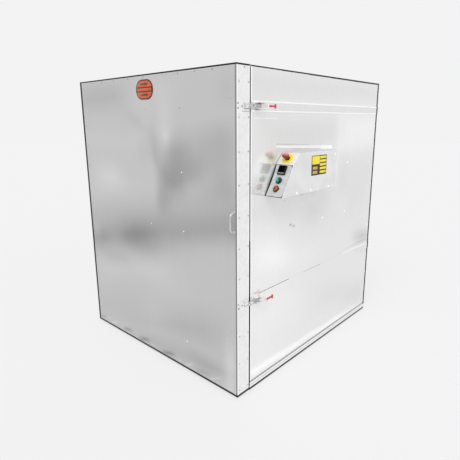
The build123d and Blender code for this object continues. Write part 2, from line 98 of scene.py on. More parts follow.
def node(tree, kind, settings=None, links=None):
    """Add a node, set its sockets or its options, and link what feeds it."""
    added = tree.nodes.new(kind)
    for name, value in (settings or {}).items():
        if isinstance(name, int) or name in added.inputs:
            added.inputs[name].default_value = value
        else:
            setattr(added, name, value)
    for name, source in (links or {}).items():
        tree.links.new(source, added.inputs[name])
    return added


def finish(name):
    """An empty node material and its tree."""
    material = bpy.data.materials.new(name)
    material.use_nodes = True
    material.node_tree.nodes.clear()
    return material, material.node_tree


def blend_colours(tree, value, low, high, start=0.0, end=1.0):
    """A colour that goes from low to high as the value goes from start to end."""
    share = node(tree, "ShaderNodeMapRange", {1: start, 2: end}, {0: value})
    colours = {"Color1": linear(low), "Color2": linear(high)}
    return node(tree, "ShaderNodeMixRGB", colours, {"Fac": share.outputs[0]}).outputs[0]


def add_part(tree, total, value, share):
    """Total plus share times the value, where the value swings about one half."""
    part = node(
        tree, "ShaderNodeMath", {"operation": "MULTIPLY_ADD", 1: share, 2: -share / 2}, {0: value}
    )
    added = node(tree, "ShaderNodeMath", {"operation": "ADD"}, {0: total, 1: part.outputs[0]})
    return added.outputs[0]


def draw_lines(tree, place, tone, lines):
    """Lay straight lines over a tone: each has its axis, middle and half width in mm, its
    colour, and where it is a short one the axis, middle and half length of each run."""
    axes = node(tree, "ShaderNodeSeparateXYZ", None, {0: place}).outputs
    for axis, middle, half, colour, *run in lines:
        within = node(
            tree,
            "ShaderNodeMath",
            {"operation": "COMPARE", 1: middle * MM, 2: half * MM},
            {0: axes[axis]},
        )
        for along, run_middle, run_half in zip(run[::3], run[1::3], run[2::3]):
            beside = node(
                tree,
                "ShaderNodeMath",
                {"operation": "COMPARE", 1: run_middle * MM, 2: run_half * MM},
                {0: axes[along]},
            )
            within = node(
                tree,
                "ShaderNodeMath",
                {"operation": "MULTIPLY"},
                {0: within.outputs[0], 1: beside.outputs[0]},
            )
        laid = node(
            tree,
            "ShaderNodeMixRGB",
            {"Color2": linear(colour)},
            {"Fac": within.outputs[0], "Color1": tone},
        )
        tone = laid.outputs[0]
    return tone


# %% [markdown]
# ## Galvanised sheet
# Hot-dip galvanised steel is sheet that was drawn through molten zinc. The zinc freezes into
# crystals, the spangle, a few millimetres across on modern sheet and only a shade apart. The
# walls are still glossy, so they work as a soft mirror under a milky haze. A metallic value
# below 1 gives both: a sharp reflection, and the haze as a diffuse share of light. Rolled
# sheet is never quite flat, so a very shallow, wide bump bends the reflections.
#
# A large bare sheet also shows clouds, where it mirrors darker or lighter parts of a workshop.
# The studio here is plain, so these reflections are painted into the finish's colour: a few
# wide, soft patches of painted reflection at their places on the sheet, with their outlines
# wandered by noise.

# %% Clouds on a sheet
CLOUD_WANDER = 44.0


def clouds_on(tree, place, across, clouds):
    """One plus soft patches. Each is a box with its middle and half size across and up, how
    far its edges fade across and up, its tilt in degrees and its weight, all lengths in mm."""
    # The wander noise is about 0.3 m from crest to crest, as wide as the buckles of the sheet.
    wander = node(
        tree,
        "ShaderNodeTexNoise",
        {"Scale": 3.5, "Detail": 3.0, "Roughness": 0.5},
        {"Vector": place},
    )
    moved = node(
        tree,
        "ShaderNodeVectorMath",
        {"operation": "MULTIPLY_ADD", 1: (CLOUD_WANDER * MM,) * 3},
        {0: wander.outputs["Color"], 2: place},
    ).outputs[0]
    total = node(tree, "ShaderNodeValue")
    total.outputs[0].default_value = 1.0
    total = total.outputs[0]
    for middle, height, half, half_up, soft, soft_up, tilt, weight in clouds:
        shift = [(middle + CLOUD_WANDER / 2) * MM, 0.0, (height + CLOUD_WANDER / 2) * MM]
        turn = [0.0, -math.radians(tilt), 0.0]
        if across == "Y":
            shift = [0.0, shift[0], shift[2]]
            turn = [math.radians(tilt), 0.0, 0.0]
        fitted = node(
            tree,
            "ShaderNodeMapping",
            {"vector_type": "TEXTURE", "Location": tuple(shift), "Rotation": tuple(turn)},
            {"Vector": moved},
        )
        away = node(
            tree, "ShaderNodeVectorMath", {"operation": "ABSOLUTE"}, {0: fitted.outputs[0]}
        )
        sides = node(tree, "ShaderNodeSeparateXYZ", None, {0: away.outputs[0]}).outputs
        faded = []
        for side, size, edge, most in ((across, half, soft, weight), ("Z", half_up, soft_up, 1.0)):
            fade = node(
                tree,
                "ShaderNodeMapRange",
                {
                    "interpolation_type": "SMOOTHSTEP",
                    1: (size - edge) * MM,
                    2: (size + edge) * MM,
                    3: most,
                    4: 0.0,
                },
                {0: sides[side]},
            )
            faded.append(fade.outputs[0])
        added = node(
            tree,
            "ShaderNodeMath",
            {"operation": "MULTIPLY_ADD"},
            {0: faded[0], 1: faded[1], 2: total},
        )
        total = added.outputs[0]
    return total


# %% Galvanised sheet
GRAIN_STEP = 0.05
GRAIN_DRAWN = (60.0, 60.0, 1.0)


def zinc(name, colour, rough, metal, crystal_mm, crystal_step, wave_mm, across, clouds, lines):
    """Galvanised sheet: spangle, mill grain, clouds of painted reflection, edge lines of
    painted shade and highlight, and gentle waves.
    """
    material, tree = finish(name)
    place = node(tree, "ShaderNodeTexCoord").outputs["Object"]
    total = clouds_on(tree, place, across, clouds)
    crystals = node(
        tree,
        "ShaderNodeTexVoronoi",
        {"Scale": 1 / (crystal_mm * MM), "Randomness": 1.0},
        {"Vector": place},
    )
    grey = node(tree, "ShaderNodeRGBToBW", None, {0: crystals.outputs["Color"]})
    total = add_part(tree, total, grey.outputs[0], crystal_step)
    # Mill grain is finer than the picture shows, so it is drawn some 8 mm across, upright.
    drawn = node(tree, "ShaderNodeMapping", {"Scale": GRAIN_DRAWN}, {"Vector": place})
    grain = node(
        tree, "ShaderNodeTexNoise", {"Scale": 2.0, "Detail": 4.0}, {"Vector": drawn.outputs[0]}
    )
    total = add_part(tree, total, grain.outputs["Fac"], GRAIN_STEP)
    tone = node(
        tree,
        "ShaderNodeVectorMath",
        {"operation": "SCALE", 0: linear(colour)[:3]},
        {"Scale": total},
    ).outputs[0]
    tone = draw_lines(tree, place, tone, lines)
    # Where the zinc is dull and dark it is rougher, and where it is bright it is smoother.
    gloss = node(
        tree, "ShaderNodeMapRange", {1: 0.6, 2: 1.2, 3: rough * 1.3, 4: rough * 0.8}, {0: total}
    ).outputs[0]
    # The waves of rolled sheet are about 0.3 m from crest to crest.
    waves = node(
        tree,
        "ShaderNodeTexNoise",
        {"Scale": 3.2, "Detail": 1.0, "Roughness": 0.3},
        {"Vector": place},
    )
    bent = node(
        tree,
        "ShaderNodeBump",
        {"Strength": 0.35, "Distance": wave_mm * MM},
        {"Height": waves.outputs["Fac"]},
    )
    shader = node(
        tree,
        "ShaderNodeBsdfPrincipled",
        {"Metallic": metal, "Specular IOR Level": 0.5},
        {"Base Color": tone, "Roughness": gloss, "Normal": bent.outputs[0]},
    )
    node(tree, "ShaderNodeOutputMaterial", None, {"Surface": shader.outputs[0]})
    return material


print("a galvanised finish has", round(GRAIN_STEP * 100), "percent of mill grain")

# %% Clouds on the walls
WALL_CLOUDS = [
    # Broad painted reflections, from the top to the bottom of the wall.
    (-60, 1575, 700, 50, 120, 50, 0, -0.06),
    (-180, 1355, 380, 60, 140, 60, 0, -0.07),
    (400, 1330, 270, 100, 50, 60, 0, 0.10),
    (420, 1510, 200, 20, 120, 40, 0, 0.03),
    (240, 1080, 50, 90, 60, 80, 0, -0.06),
    (460, 1040, 240, 110, 160, 120, 0, -0.06),
    (-240, 960, 380, 80, 160, 60, -8, -0.09),
    (-120, 860, 90, 60, 80, 60, 0, -0.05),
    (250, 880, 360, 110, 200, 90, -6, -0.05),
    (520, 640, 110, 40, 110, 80, -10, -0.07),
    (580, 600, 100, 36, 140, 56, -8, -0.26),
    (-520, 730, 150, 70, 130, 110, -12, 0.10),
    (-280, 650, 260, 50, 160, 80, -6, 0.05),
    (-340, 380, 320, 90, 160, 110, -9, 0.04),
    (260, 260, 460, 80, 240, 100, -12, -0.06),
    (500, 150, 180, 60, 160, 80, -10, -0.05),
    (-190, 84, 640, 16, 260, 22, -1, 0.22),
    (-580, 1140, 60, 60, 40, 60, 20, 0.10),
    # Scuffs below the console.
    (-235, 1004, 14, 4, 12, 8, 0, -0.34),
    (-399, 994, 8, 3, 8, 6, 0, -0.25),
    (-338, 848, 12, 6, 8, 6, 10, -0.42),
    (-305, 838, 12, 6, 8, 6, 10, -0.42),
    # Painted shade and highlight lines of creases in the sheet over the far end of the lower bar.
    (450, 560, 170, 3, 120, 5, 3, -0.14),
    (560, 566, 110, 3, 80, 5, -2, -0.16),
    (480, 520, 140, 2, 120, 5, -4, -0.12),
    (560, 500, 90, 2, 60, 5, -8, -0.12),
    (590, 478, 70, 2, 50, 5, -10, -0.10),
    (520, 532, 150, 3, 100, 5, -3, 0.10),
    (570, 510, 90, 3, 60, 5, -6, 0.08),
    # Painted reflections that lie over the others.
    (-620, 380, 260, 460, 380, 160, 0, 0.07),
    (-200, 950, 380, 70, 160, 70, -8, 0.06),
    (120, 900, 180, 90, 120, 90, 0, 0.04),
    (-620, 530, 40, 40, 90, 60, 0, 0.06),
    (560, 520, 80, 30, 130, 70, -6, -0.07),
    (-590, 1195, 40, 30, 50, 44, 30, 0.22),
]
print(len(WALL_CLOUDS), "patches on a wall")

# %% Clouds on the door
DOOR_CLOUDS = [
    # Broad painted reflections, from the top of the door down.
    (-450, 1545, 230, 50, 150, 80, 0, -0.11),
    (60, 1560, 200, 60, 140, 60, 0, 0.05),
    (-300, 1190, 372, 250, 30, 130, 0, 0.07),
    (-400, 1075, 140, 60, 120, 90, 0, 0.16),
    (-70, 1400, 90, 26, 80, 50, -24, -0.11),
    (66, 1290, 26, 100, 44, 80, 12, -0.14),
    (112, 1080, 30, 150, 46, 100, 0, -0.13),
    (165, 1420, 60, 90, 50, 70, 0, 0.08),
    (168, 1318, 28, 30, 44, 50, 0, 0.12),
    (420, 1250, 250, 90, 90, 80, 9, -0.26),
    (275, 1170, 90, 100, 90, 80, -30, -0.07),
    (225, 1085, 70, 60, 90, 90, -20, -0.24),
    (160, 990, 40, 60, 60, 80, -10, -0.16),
    (330, 1120, 110, 40, 100, 60, 20, -0.14),
    (600, 1120, 60, 60, 60, 90, 0, -0.08),
    (0, 820, 740, 130, 60, 130, 11.5, -0.18),
    (0, 765, 740, 60, 60, 80, 11.5, -0.15),
    (-115, 750, 140, 60, 150, 140, 8, -0.16),
    (-240, 685, 80, 36, 90, 70, 6, -0.10),
    (-570, 655, 80, 30, 90, 60, 0, -0.09),
    (-250, 500, 400, 60, 180, 90, 12, 0.07),
    (110, 520, 160, 90, 160, 100, 0, 0.04),
    (-400, 190, 300, 90, 200, 110, 14, -0.05),
    (370, 290, 240, 90, 190, 120, 12, -0.14),
    (-60, 180, 300, 30, 200, 80, 12, -0.07),
    (450, 110, 110, 30, 90, 50, 0, -0.11),
    (630, 120, 36, 170, 44, 150, 0, 0.18),
    # Painted shade and highlight of buckles in the bottom fold.
    (-620, 44, 34, 5, 30, 14, 14, -0.30),
    (-470, 46, 40, 4, 30, 12, 22, 0.30),
    (-550, 50, 20, 3, 20, 10, 22, 0.20),
    (-310, 46, 40, 8, 30, 16, 14, -0.42),
    (-130, 46, 50, 8, 34, 18, 14, -0.46),
    (-40, 40, 24, 3, 20, 10, 22, 0.14),
    (110, 44, 60, 8, 40, 18, 12, -0.44),
    (220, 42, 24, 3, 20, 10, 22, 0.14),
    (310, 50, 34, 4, 26, 12, 24, 0.30),
    (420, 50, 50, 10, 40, 20, 12, -0.20),
    (520, 52, 40, 4, 30, 12, 22, 0.20),
    # Painted reflections that lie over the others.
    (-420, 1480, 300, 160, 120, 60, 0, -0.05),
    (620, 1540, 60, 60, 60, 60, 0, -0.06),
    (0, 1270, 70, 70, 60, 60, 0, -0.06),
    (480, 1270, 160, 60, 90, 60, 0, 0.09),
    (-300, 1150, 380, 120, 60, 90, 0, -0.05),
    (560, 1100, 140, 60, 90, 60, 10, -0.08),
    (0, 680, 140, 40, 170, 110, 10, -0.11),
    (-150, 740, 90, 50, 110, 90, 8, -0.06),
    (-370, 540, 150, 40, 90, 60, 6, -0.10),
    (-620, 690, 40, 50, 50, 50, 0, 0.12),
    (500, 800, 180, 60, 120, 70, 10, 0.06),
    (230, 84, 420, 34, 200, 60, 4, -0.15),
    (165, 1120, 36, 70, 50, 70, 0, -0.16),
    (168, 1330, 22, 40, 30, 40, 0, 0.08),
]
print(len(DOOR_CLOUDS), "patches on the door")

# %% [markdown]
# ## Edges of the sheets
# Where a sheet ends it is folded back on itself. In the photograph every outer fold reads as
# a fine dark line about one pixel wide, and the folds beside the door gap and along the flat
# bars as fine bright ones. Both are painted into the finish's colour: the dark lines are painted
# shade and the bright ones painted highlights. Far and slanting edges need a wider line for the
# same pixel, so the dark lines are 7.5 to 20 mm wide and the bright ones 6 to 8 mm. They lie on
# the finish, at places taken from the size of each piece. The gap beside the door looks dark in
# its lower half, so there the front of the wall is painted dark near its outer edge, as the
# gap's shadow.

# %% Edge lines
X, Y, Z = 0, 1, 2
# Tones of the painted shade and the painted highlights along the folds.
FOLD_PAINTED_SHADE = "#0E0E0E"
FOLD_SOFT_PAINTED_SHADE = "#8C8C8C"
FOLD_PAINTED_HIGHLIGHT = "#FFFFFF"


def corners_mm(node_name):
    """The lowest and highest corner of a piece of the frame, in millimetres."""
    low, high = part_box(node_name)
    return Vector(low) / MM, Vector(high) / MM


def line(axis, edge, inwards, width, colour, gap=0.0):
    """A line of a width that starts at an edge and lies inwards of it, +1 or -1."""
    return (axis, edge + inwards * (gap + width / 2), width / 2, colour)


door_low, door_high = corners_mm("door_front_sheet")
strip_low, strip_high = corners_mm("door_edge_strip")
skin_low, skin_high = corners_mm("right_skin")
roof_low, roof_high = corners_mm("roof_skin")
upper_low, upper_high = corners_mm("right_strap_upper")
lower_low, lower_high = corners_mm("right_strap_lower")
upper_level = (upper_low.z + upper_high.z) / 2
lower_level = (lower_low.z + lower_high.z) / 2
LEVELS = {"upper": upper_level, "lower": lower_level}

print("the latches are", [round(level) for level in LEVELS.values()], "mm above the floor")

# %% Lines on each sheet
FOLD_WIDTH = 7.5
TOP_FOLD_STEPS = ((8.4, 560.0), (9.3, 440.0), (10.2, 320.0), (11.0, 190.0))
LOW_FOLD_WIDTH = 13.0
RAIL_SHADOW_WIDTH = 15.0
FAR_FOLD_WIDTH = 20.0
CORNER_WIDTH = 9.0
STRIP_BRIGHT_WIDTH = 7.0
GAP_BRIGHT_WIDTH = 8.0
BAR_BRIGHT_WIDTH = 6.0
SHUT_FACE = 0.7
GAP_PAINTED_SHADOW = (430.0, 400.0)
BAR_EDGE = 1.2
RAIL_TOP = 27.0
# Painted shade along the door's folds, softer at its opening edge.
door_lines = [
    line(X, door_high.x, -1, CORNER_WIDTH, FOLD_SOFT_PAINTED_SHADE),
    line(X, door_low.x, 1, FAR_FOLD_WIDTH, FOLD_PAINTED_SHADE),
    line(Z, door_low.z, 1, LOW_FOLD_WIDTH, FOLD_PAINTED_SHADE),
    line(Z, door_high.z, -1, FOLD_WIDTH, FOLD_PAINTED_SHADE),
]
# Painted highlights along the strip's two folds, and painted shade at its top and bottom.
strip_lines = [
    line(Y, strip_low.y, 1, STRIP_BRIGHT_WIDTH, FOLD_PAINTED_HIGHLIGHT),
    line(Y, strip_high.y, -1, GAP_BRIGHT_WIDTH, FOLD_PAINTED_HIGHLIGHT),
    line(Z, strip_low.z, 1, LOW_FOLD_WIDTH, FOLD_PAINTED_SHADE),
    line(Z, strip_high.z, -1, FOLD_WIDTH, FOLD_PAINTED_SHADE),
    # The painted shade under the upper keeper, and the back of the strip painted dark as the
    # shadow in the door gap.
    (Z, upper_low.z + 1.0, 1.6, "#A8A8A8", Y, strip_high.y - 28.0, 26.0),
    (Y, strip_high.y, SHUT_FACE, FOLD_PAINTED_SHADE),
]
# A painted highlight by the door gap, and painted shade along the wall's top and far folds.
wall_lines = [
    line(Y, skin_low.y, 1, GAP_BRIGHT_WIDTH, FOLD_PAINTED_HIGHLIGHT),
    # The seam above the base frame, with its shadow painted as a grey line.
    (Z, skin_low.z + 11.0, 4.5, "#8E8E8E"),
    line(Z, roof_high.z, -1, FOLD_WIDTH, FOLD_PAINTED_SHADE),
    *(
        line(Z, roof_high.z, -1, width, FOLD_PAINTED_SHADE) + (Y, skin_high.y - half_run, half_run)
        for width, half_run in TOP_FOLD_STEPS
    ),
    line(Y, skin_high.y, -1, FAR_FOLD_WIDTH, FOLD_PAINTED_SHADE),
    # A bright line under the upper bar, then the front of the wall in the door gap, painted
    # dark near its outer edge in the lower half as the gap's shadow.
    (Z, upper_low.z - 29.0, 1.5, "#FFFFFF", Y, -560.0, 90.0),
    (Y, skin_low.y, SHUT_FACE, "#DCDCDC"),
    (Y, skin_low.y, SHUT_FACE, FOLD_PAINTED_SHADE, Z, *GAP_PAINTED_SHADOW, X, skin_high.x, FOLD_WIDTH),
]
# Painted shade along the folds of the back.
back_lines = [
    line(X, skin_high.x, -1, FOLD_WIDTH, FOLD_PAINTED_SHADE),
    line(X, -skin_high.x, 1, FOLD_WIDTH, FOLD_PAINTED_SHADE),
    line(Z, roof_high.z, -1, FOLD_WIDTH, FOLD_PAINTED_SHADE),
]
# Painted shade along the folds of the roof.
roof_lines = [
    line(X, roof_high.x, -1, FOLD_WIDTH, FOLD_PAINTED_SHADE),
    line(X, roof_low.x, 1, FOLD_WIDTH, FOLD_PAINTED_SHADE),
    line(Y, roof_high.y, -1, FOLD_WIDTH, FOLD_PAINTED_SHADE),
]
# Painted highlights along the upper bar's edges, and painted shade at its far end.
upper_bar_lines = [
    line(Z, upper_low.z, 1, BAR_BRIGHT_WIDTH, FOLD_PAINTED_HIGHLIGHT),
    line(Z, upper_high.z, -1, BAR_BRIGHT_WIDTH, FOLD_PAINTED_HIGHLIGHT),
    line(Y, upper_high.y, -1, FAR_FOLD_WIDTH, FOLD_PAINTED_SHADE),
]
# Painted highlight and painted shade along the lower bar's top edge, painted shade at its far end.
lower_bar_lines = [
    line(Z, lower_high.z, -1, BAR_BRIGHT_WIDTH, "#FAFAFA", 0.5) + (Y, 480.0, 190.0),
    (Z, lower_high.z - BAR_EDGE, BAR_EDGE, "#6A6A6A", Y, -470.0, 130.0),
    (Z, lower_high.z - BAR_EDGE, BAR_EDGE, "#B5B5B5", Y, -100.0, 95.0),
    line(Y, lower_high.y, -1, FAR_FOLD_WIDTH, FOLD_PAINTED_SHADE),
]
# A grey line on the rails, and painted shadow where they meet the floor.
rail_lines = [line(Z, RAIL_TOP, 1, 4.0, "#C4C4C4"), line(Z, 0.0, 1, RAIL_SHADOW_WIDTH, FOLD_PAINTED_SHADE)]
print("lines on the wall:", len(wall_lines), "and on the door:", len(door_lines))

# %% Zinc finishes
# Each finish has its name, colour, roughness, metallic share, crystal size in mm and step of
# tone, depth of the waves in mm, the axis across the sheet, its clouds and its lines.
wall_zinc = zinc(
    "glossy_galvanised_wall", "#E9E9E9", 0.16, 0.45, 9, 0.03, 1.6, "Y", WALL_CLOUDS, wall_lines
)
back_zinc = zinc(
    "glossy_galvanised_back", "#E6E6E6", 0.2, 0.6, 9, 0.04, 1.6, "X", WALL_CLOUDS, back_lines
)
roof_zinc = zinc("glossy_galvanised_roof", "#E4E4E4", 0.2, 0.6, 9, 0.04, 1.6, "X", [], roof_lines)
# The door's darker grey than the walls' is painted shade, for the darker room its front mirrors.
door_zinc = zinc(
    "satin_galvanised_door", "#C3C3C3", 0.4, 0.45, 6, 0.02, 2.0, "X", DOOR_CLOUDS, door_lines
)
strip_zinc = zinc(
    "spangled_galvanised_strip", "#EFEFEF", 0.26, 0.4, 12, 0.12, 0.8, "Y", [], strip_lines
)
upper_bar_zinc = zinc(
    "galvanised_flat_bar", "#E2E2E2", 0.4, 0.12, 7, 0.06, 0.4, "Y", [], upper_bar_lines
)
# The lower bar takes the wall's colour and painted reflections, so it reads as part of the wall.
lower_bar_zinc = zinc(
    "flat_bar_painted_like_wall", "#E9E9E9", 0.16, 0.45, 9, 0.03, 1.6, "Y", WALL_CLOUDS, lower_bar_lines
)
rail_zinc = zinc("galvanised_square_tube", "#F4F4F4", 0.3, 0.5, 7, 0.08, 0.3, "Y", [], rail_lines)
lining_zinc = zinc("galvanised_chamber_lining", "#C4C4C4", 0.34, 0.6, 10, 0.08, 1.2, "Y", [], [])
print("zinc finishes:", len(bpy.data.materials))

# %% [markdown]
# ## Paint, plastic, plating and rope
# The console is powder coated, which leaves a fine orange peel. The controls are moulded
# plastic, the latches are pressed steel with a thin zinc plating, and the pull handle is a
# bright plated rod. Each gets its own roughness, and a bump at its real scale.

# %% Coated, moulded and plated surfaces


def coated(
    name,
    low,
    high,
    rough,
    grain_mm,
    depth_mm,
    metal=0.0,
    coat=0.0,
    mottle=6.0,
    lines=(),
    shine=0.5,
):
    """A coated or moulded surface: a slight mottle of tone over a fine bump."""
    material, tree = finish(name)
    place = node(tree, "ShaderNodeTexCoord").outputs["Object"]
    cloud = node(tree, "ShaderNodeTexNoise", {"Scale": mottle, "Detail": 3.0}, {"Vector": place})
    tone = blend_colours(tree, cloud.outputs["Fac"], low, high, 0.35, 0.65)
    tone = draw_lines(tree, place, tone, lines)
    grain = node(
        tree,
        "ShaderNodeTexNoise",
        {"Scale": 1 / (grain_mm * MM), "Detail": 1.0},
        {"Vector": place},
    )
    peel = node(
        tree,
        "ShaderNodeBump",
        {"Strength": 0.5, "Distance": depth_mm * MM},
        {"Height": grain.outputs["Fac"]},
    )
    limits = {1: 0.3, 2: 0.7, 3: rough * 1.15, 4: rough * 0.85}
    gloss = node(tree, "ShaderNodeMapRange", limits, {0: cloud.outputs["Fac"]}).outputs[0]
    shader = node(
        tree,
        "ShaderNodeBsdfPrincipled",
        {
            "Metallic": metal,
            "Coat Weight": coat,
            "Coat Roughness": 0.08,
            "Specular IOR Level": shine,
        },
        {"Base Color": tone, "Roughness": gloss, "Normal": peel.outputs[0]},
    )
    node(tree, "ShaderNodeOutputMaterial", None, {"Surface": shader.outputs[0]})
    return material


# %% Paint and plating
# Each finish has its name, dark and light tone, roughness, grain size and depth in mm, and
# where it has them its metallic share and clear coat. Powder coat peels at about 3 mm from
# crest to crest, and moulded plastic at under 1 mm. The lines on the console are painted shade
# over its top face, a painted highlight on the fold at its far end and the dark joints along
# its wall side.
console_low, console_high = corners_mm("console")
console_lines = [
    (Z, console_high.z, 0.9, "#C2C2C2"),
    line(Y, console_high.y, -1, 4.0, "#FFFFFF"),
    line(X, console_low.x, 1, 1.6, "#101010") + (Z, 1117.0, 77.0),
    line(X, console_low.x, 1, 2.0, "#5A5A5A") + (Z, 1222.0, 27.0),
]
console_coat = coated(
    "powder_coated_console", "#DCDCDC", "#E6E6E6", 0.3, 3.0, 0.04, mottle=9.0, lines=console_lines
)
plate_coat = coated("powder_coated_cover", "#B8B8B8", "#CACACA", 0.4, 2.5, 0.05, mottle=60.0)
# The painted shade at the edges and gaps of a latch: how far each mark is above the latch's
# level, its half width, which of three tones it takes, and the middle and half length of its
# run along Y. The upper latch's painted shade is the darker.
LATCH_PAINTED_SHADE = (
    (12.5, 2.6, 0, -636.0, 12.0),
    (-15.5, 1.4, 1, -634.0, 20.0),
    (3.0, 5.0, 1, -661.0, 3.5),
    (0.0, 14.0, 1, -692.0, 2.2),
    (-12.6, 1.2, 0, -707.0, 15.0),
    (0.0, 13.0, 2, -721.5, 1.4),
)
LATCH_TONES = {
    "upper": ("#6A6A6A", "#8E8E8E", "#A6A6A6"),
    "lower": ("#9A9A9A", "#B4B4B4", "#A6A6A6"),
}
latch_shade_lines = [
    (Z, LEVELS[level] + up, half, tones[tone], Y, along, half_run)
    for level, tones in LATCH_TONES.items()
    for up, half, tone, along, half_run in LATCH_PAINTED_SHADE
]
latch_plating = coated(
    "zinc_plated_pressing",
    "#D6D6D6",
    "#F4F4F4",
    0.4,
    0.8,
    0.03,
    0.12,
    mottle=60.0,
    lines=latch_shade_lines,
)
# The hook's rod is a darker grey than the pressing.
hook_plating = coated("darker_plated_rod", "#AAAAAA", "#CCCCCC", 0.4, 0.8, 0.02, 0.3)
# The keeper's rivets are near black: painted shade for the dark marks at them.
keeper_pin_painted_shade = coated("dark_pin_painted_shade", "#3A3A3A", "#5A5A5A", 0.45, 0.6, 0.02, 0.3)
hinge_plating = coated("zinc_plated_hinge", "#BFC0C0", "#E4E4E4", 0.34, 0.8, 0.03, 0.7)
handle_plating = coated("bright_plated_rod", "#B8B8B8", "#D8D8D8", 0.24, 1.5, 0.01, 0.6)
# These rivets are painted darker as shade.
rivet_painted_shade = coated("aluminium_rivet_painted_shade", "#8A8A8A", "#A8A8A8", 0.4, 0.6, 0.02, 0.5)
# These are painted near white: a painted highlight, besides the real glint of low roughness.
rivet_painted_glint = coated("aluminium_rivet_painted_glint", "#FAFAFA", "#FFFFFF", 0.2, 0.6, 0.01, 0.3)
print("dark edges on the two latches:", len(latch_shade_lines))

# %% Plastic, rubber and enamel
grip_vinyl = coated("dipped_red_vinyl", "#CF2038", "#E13248", 0.36, 1.2, 0.03, 0.0, 0.2)
instrument_case = coated("black_abs_case", "#101011", "#1C1C1D", 0.42, 0.6, 0.02, shine=0.25)
window_glass = coated("black_acrylic_window", "#020203", "#050506", 0.12, 2.0, 0.005, shine=0.02)
key_grey = coated("grey_silicone_keys", "#4A4A4C", "#6A6A6C", 0.5, 0.7, 0.01)
bezel_black = coated("black_polyamide_bezel", "#141414", "#202020", 0.22, 0.7, 0.01)
stop_yellow = coated("yellow_abs_disc", "#F2E02C", "#FBEC4E", 0.35, 1.0, 0.01)
stop_grey = coated("grey_polyamide_collar", "#33331F", "#454534", 0.4, 0.7, 0.02)
gland_nylon = coated("black_nylon_gland", "#1C1C1D", "#262628", 0.5, 0.8, 0.02)
# The gasket is near black as the painted shadow in the gap round the cover plate.
gasket_painted_shadow = coated("black_gasket_painted_shadow", "#060606", "#101010", 0.7, 1.0, 0.02, shine=0.15)
badge_rim = coated("dark_enamel_rim", "#33190F", "#45220F", 0.3, 2.0, 0.01)
badge_field = coated("orange_enamel_field", "#B8491F", "#D1602C", 0.3, 2.0, 0.01, mottle=60.0)
notice_dark = coated("dark_printed_plate", "#241C0C", "#332813", 0.4, 2.0, 0.01)
notice_yellow = coated("yellow_printed_bars", "#EFD813", "#F8E838", 0.4, 2.0, 0.01)
notice_tan = coated("tan_printed_panel", "#B79A45", "#CBAF5C", 0.4, 2.0, 0.01)
print("finishes so far:", len(bpy.data.materials))

# %% [markdown]
# ## Two-tone controls
# The selector is a black disc with a teal blade moulded on it, so its finish changes colour at
# a height above the console's facet: it measures how far a point stands out along the facet's
# normal. The stop button's top is painted pink as a highlight of the light from above, so its
# finish blends along the vertical. The flange on the wall is white up to a line that leans as
# it does, and painted grey above it as shade.
# The lamp's lens is ribbed amber over a dark core, drawn as rings about the lamp's own axis.

# %% The console's lower facet
LOWER_TILT = math.radians(30.6)
LOWER_FACET = 179.0
LAMP_UP, CONTROLLER_UP = 45.0, 146.0


def facet(foot, tilt):
    """A matrix from a facet's own X across, Y up the slope and Z outwards, in millimetres."""
    across = Vector((1.0, 0.0, 0.0))
    up = Vector((0.0, math.sin(tilt), math.cos(tilt)))
    out = across.cross(up)
    turn = Matrix((across, up, out)).transposed().to_4x4()
    return Matrix.Translation(foot * MM) @ turn @ Matrix.Scale(MM, 4)


console_middle = (console_low.x + console_high.x) / 2
lower_foot = Vector((console_middle, console_low.y, console_low.z))
lower_facet = facet(lower_foot, LOWER_TILT)
facet_out = lower_facet.to_3x3().col[2].normalized()
facet_foot = lower_facet.translation.dot(facet_out)
print("the console's facet points along", [round(c, 3) for c in facet_out])

# %% Two-tone finishes


def two_tone(name, base, low, high, direction, change, fade, rough):
    """Moulded plastic: one colour up to a distance along a direction, another beyond it that
    blends from low to high. Distances are in metres from the origin."""
    material, tree = finish(name)
    place = node(tree, "ShaderNodeTexCoord").outputs["Object"]
    along = node(
        tree, "ShaderNodeVectorMath", {"operation": "DOT_PRODUCT", 1: tuple(direction)}, {0: place}
    ).outputs["Value"]
    upper = blend_colours(tree, along, low, high, change, fade)
    beyond = node(tree, "ShaderNodeMath", {"operation": "GREATER_THAN", 1: change}, {0: along})
    tone = node(
        tree,
        "ShaderNodeMixRGB",
        {"Color1": linear(base)},
        {"Fac": beyond.outputs[0], "Color2": upper},
    )
    cloud = node(tree, "ShaderNodeTexNoise", {"Scale": 90.0, "Detail": 2.0}, {"Vector": place})
    limits = {1: 0.3, 2: 0.7, 3: rough * 1.2, 4: rough * 0.85}
    gloss = node(tree, "ShaderNodeMapRange", limits, {0: cloud.outputs["Fac"]}).outputs[0]
    shader = node(
        tree,
        "ShaderNodeBsdfPrincipled",
        {"Coat Weight": 0.3, "Coat Roughness": 0.08},
        {"Base Color": tone.outputs[0], "Roughness": gloss},
    )
    node(tree, "ShaderNodeOutputMaterial", None, {"Surface": shader.outputs[0]})
    return material


# The knob's heights are in millimetres above the facet, the others in metres.
KNOB_DISC, KNOB_TOP = 8.4, 15.0
BUTTON_RIM, BUTTON_TOP = 1.237, 1.250
FLANGE_BRIGHT, FLANGE_PAINTED_SHADE = 1.264, 1.268
FLANGE_SLOPE = math.radians(2.2)
knob_finish = two_tone(
    "teal_selector_knob",
    "#0C0E0E",
    "#0C8A7A",
    "#1CB4A2",
    facet_out,
    facet_foot + KNOB_DISC * MM,
    facet_foot + KNOB_TOP * MM,
    0.26,
)
# The pink towards the button's top is a painted highlight of the light from above.
button_finish = two_tone(
    "red_stop_button",
    "#7A0D16",
    "#8A121C",
    "#F0A29B",
    (0.0, 0.0, 1.0),
    BUTTON_RIM,
    BUTTON_TOP,
    0.32,
)
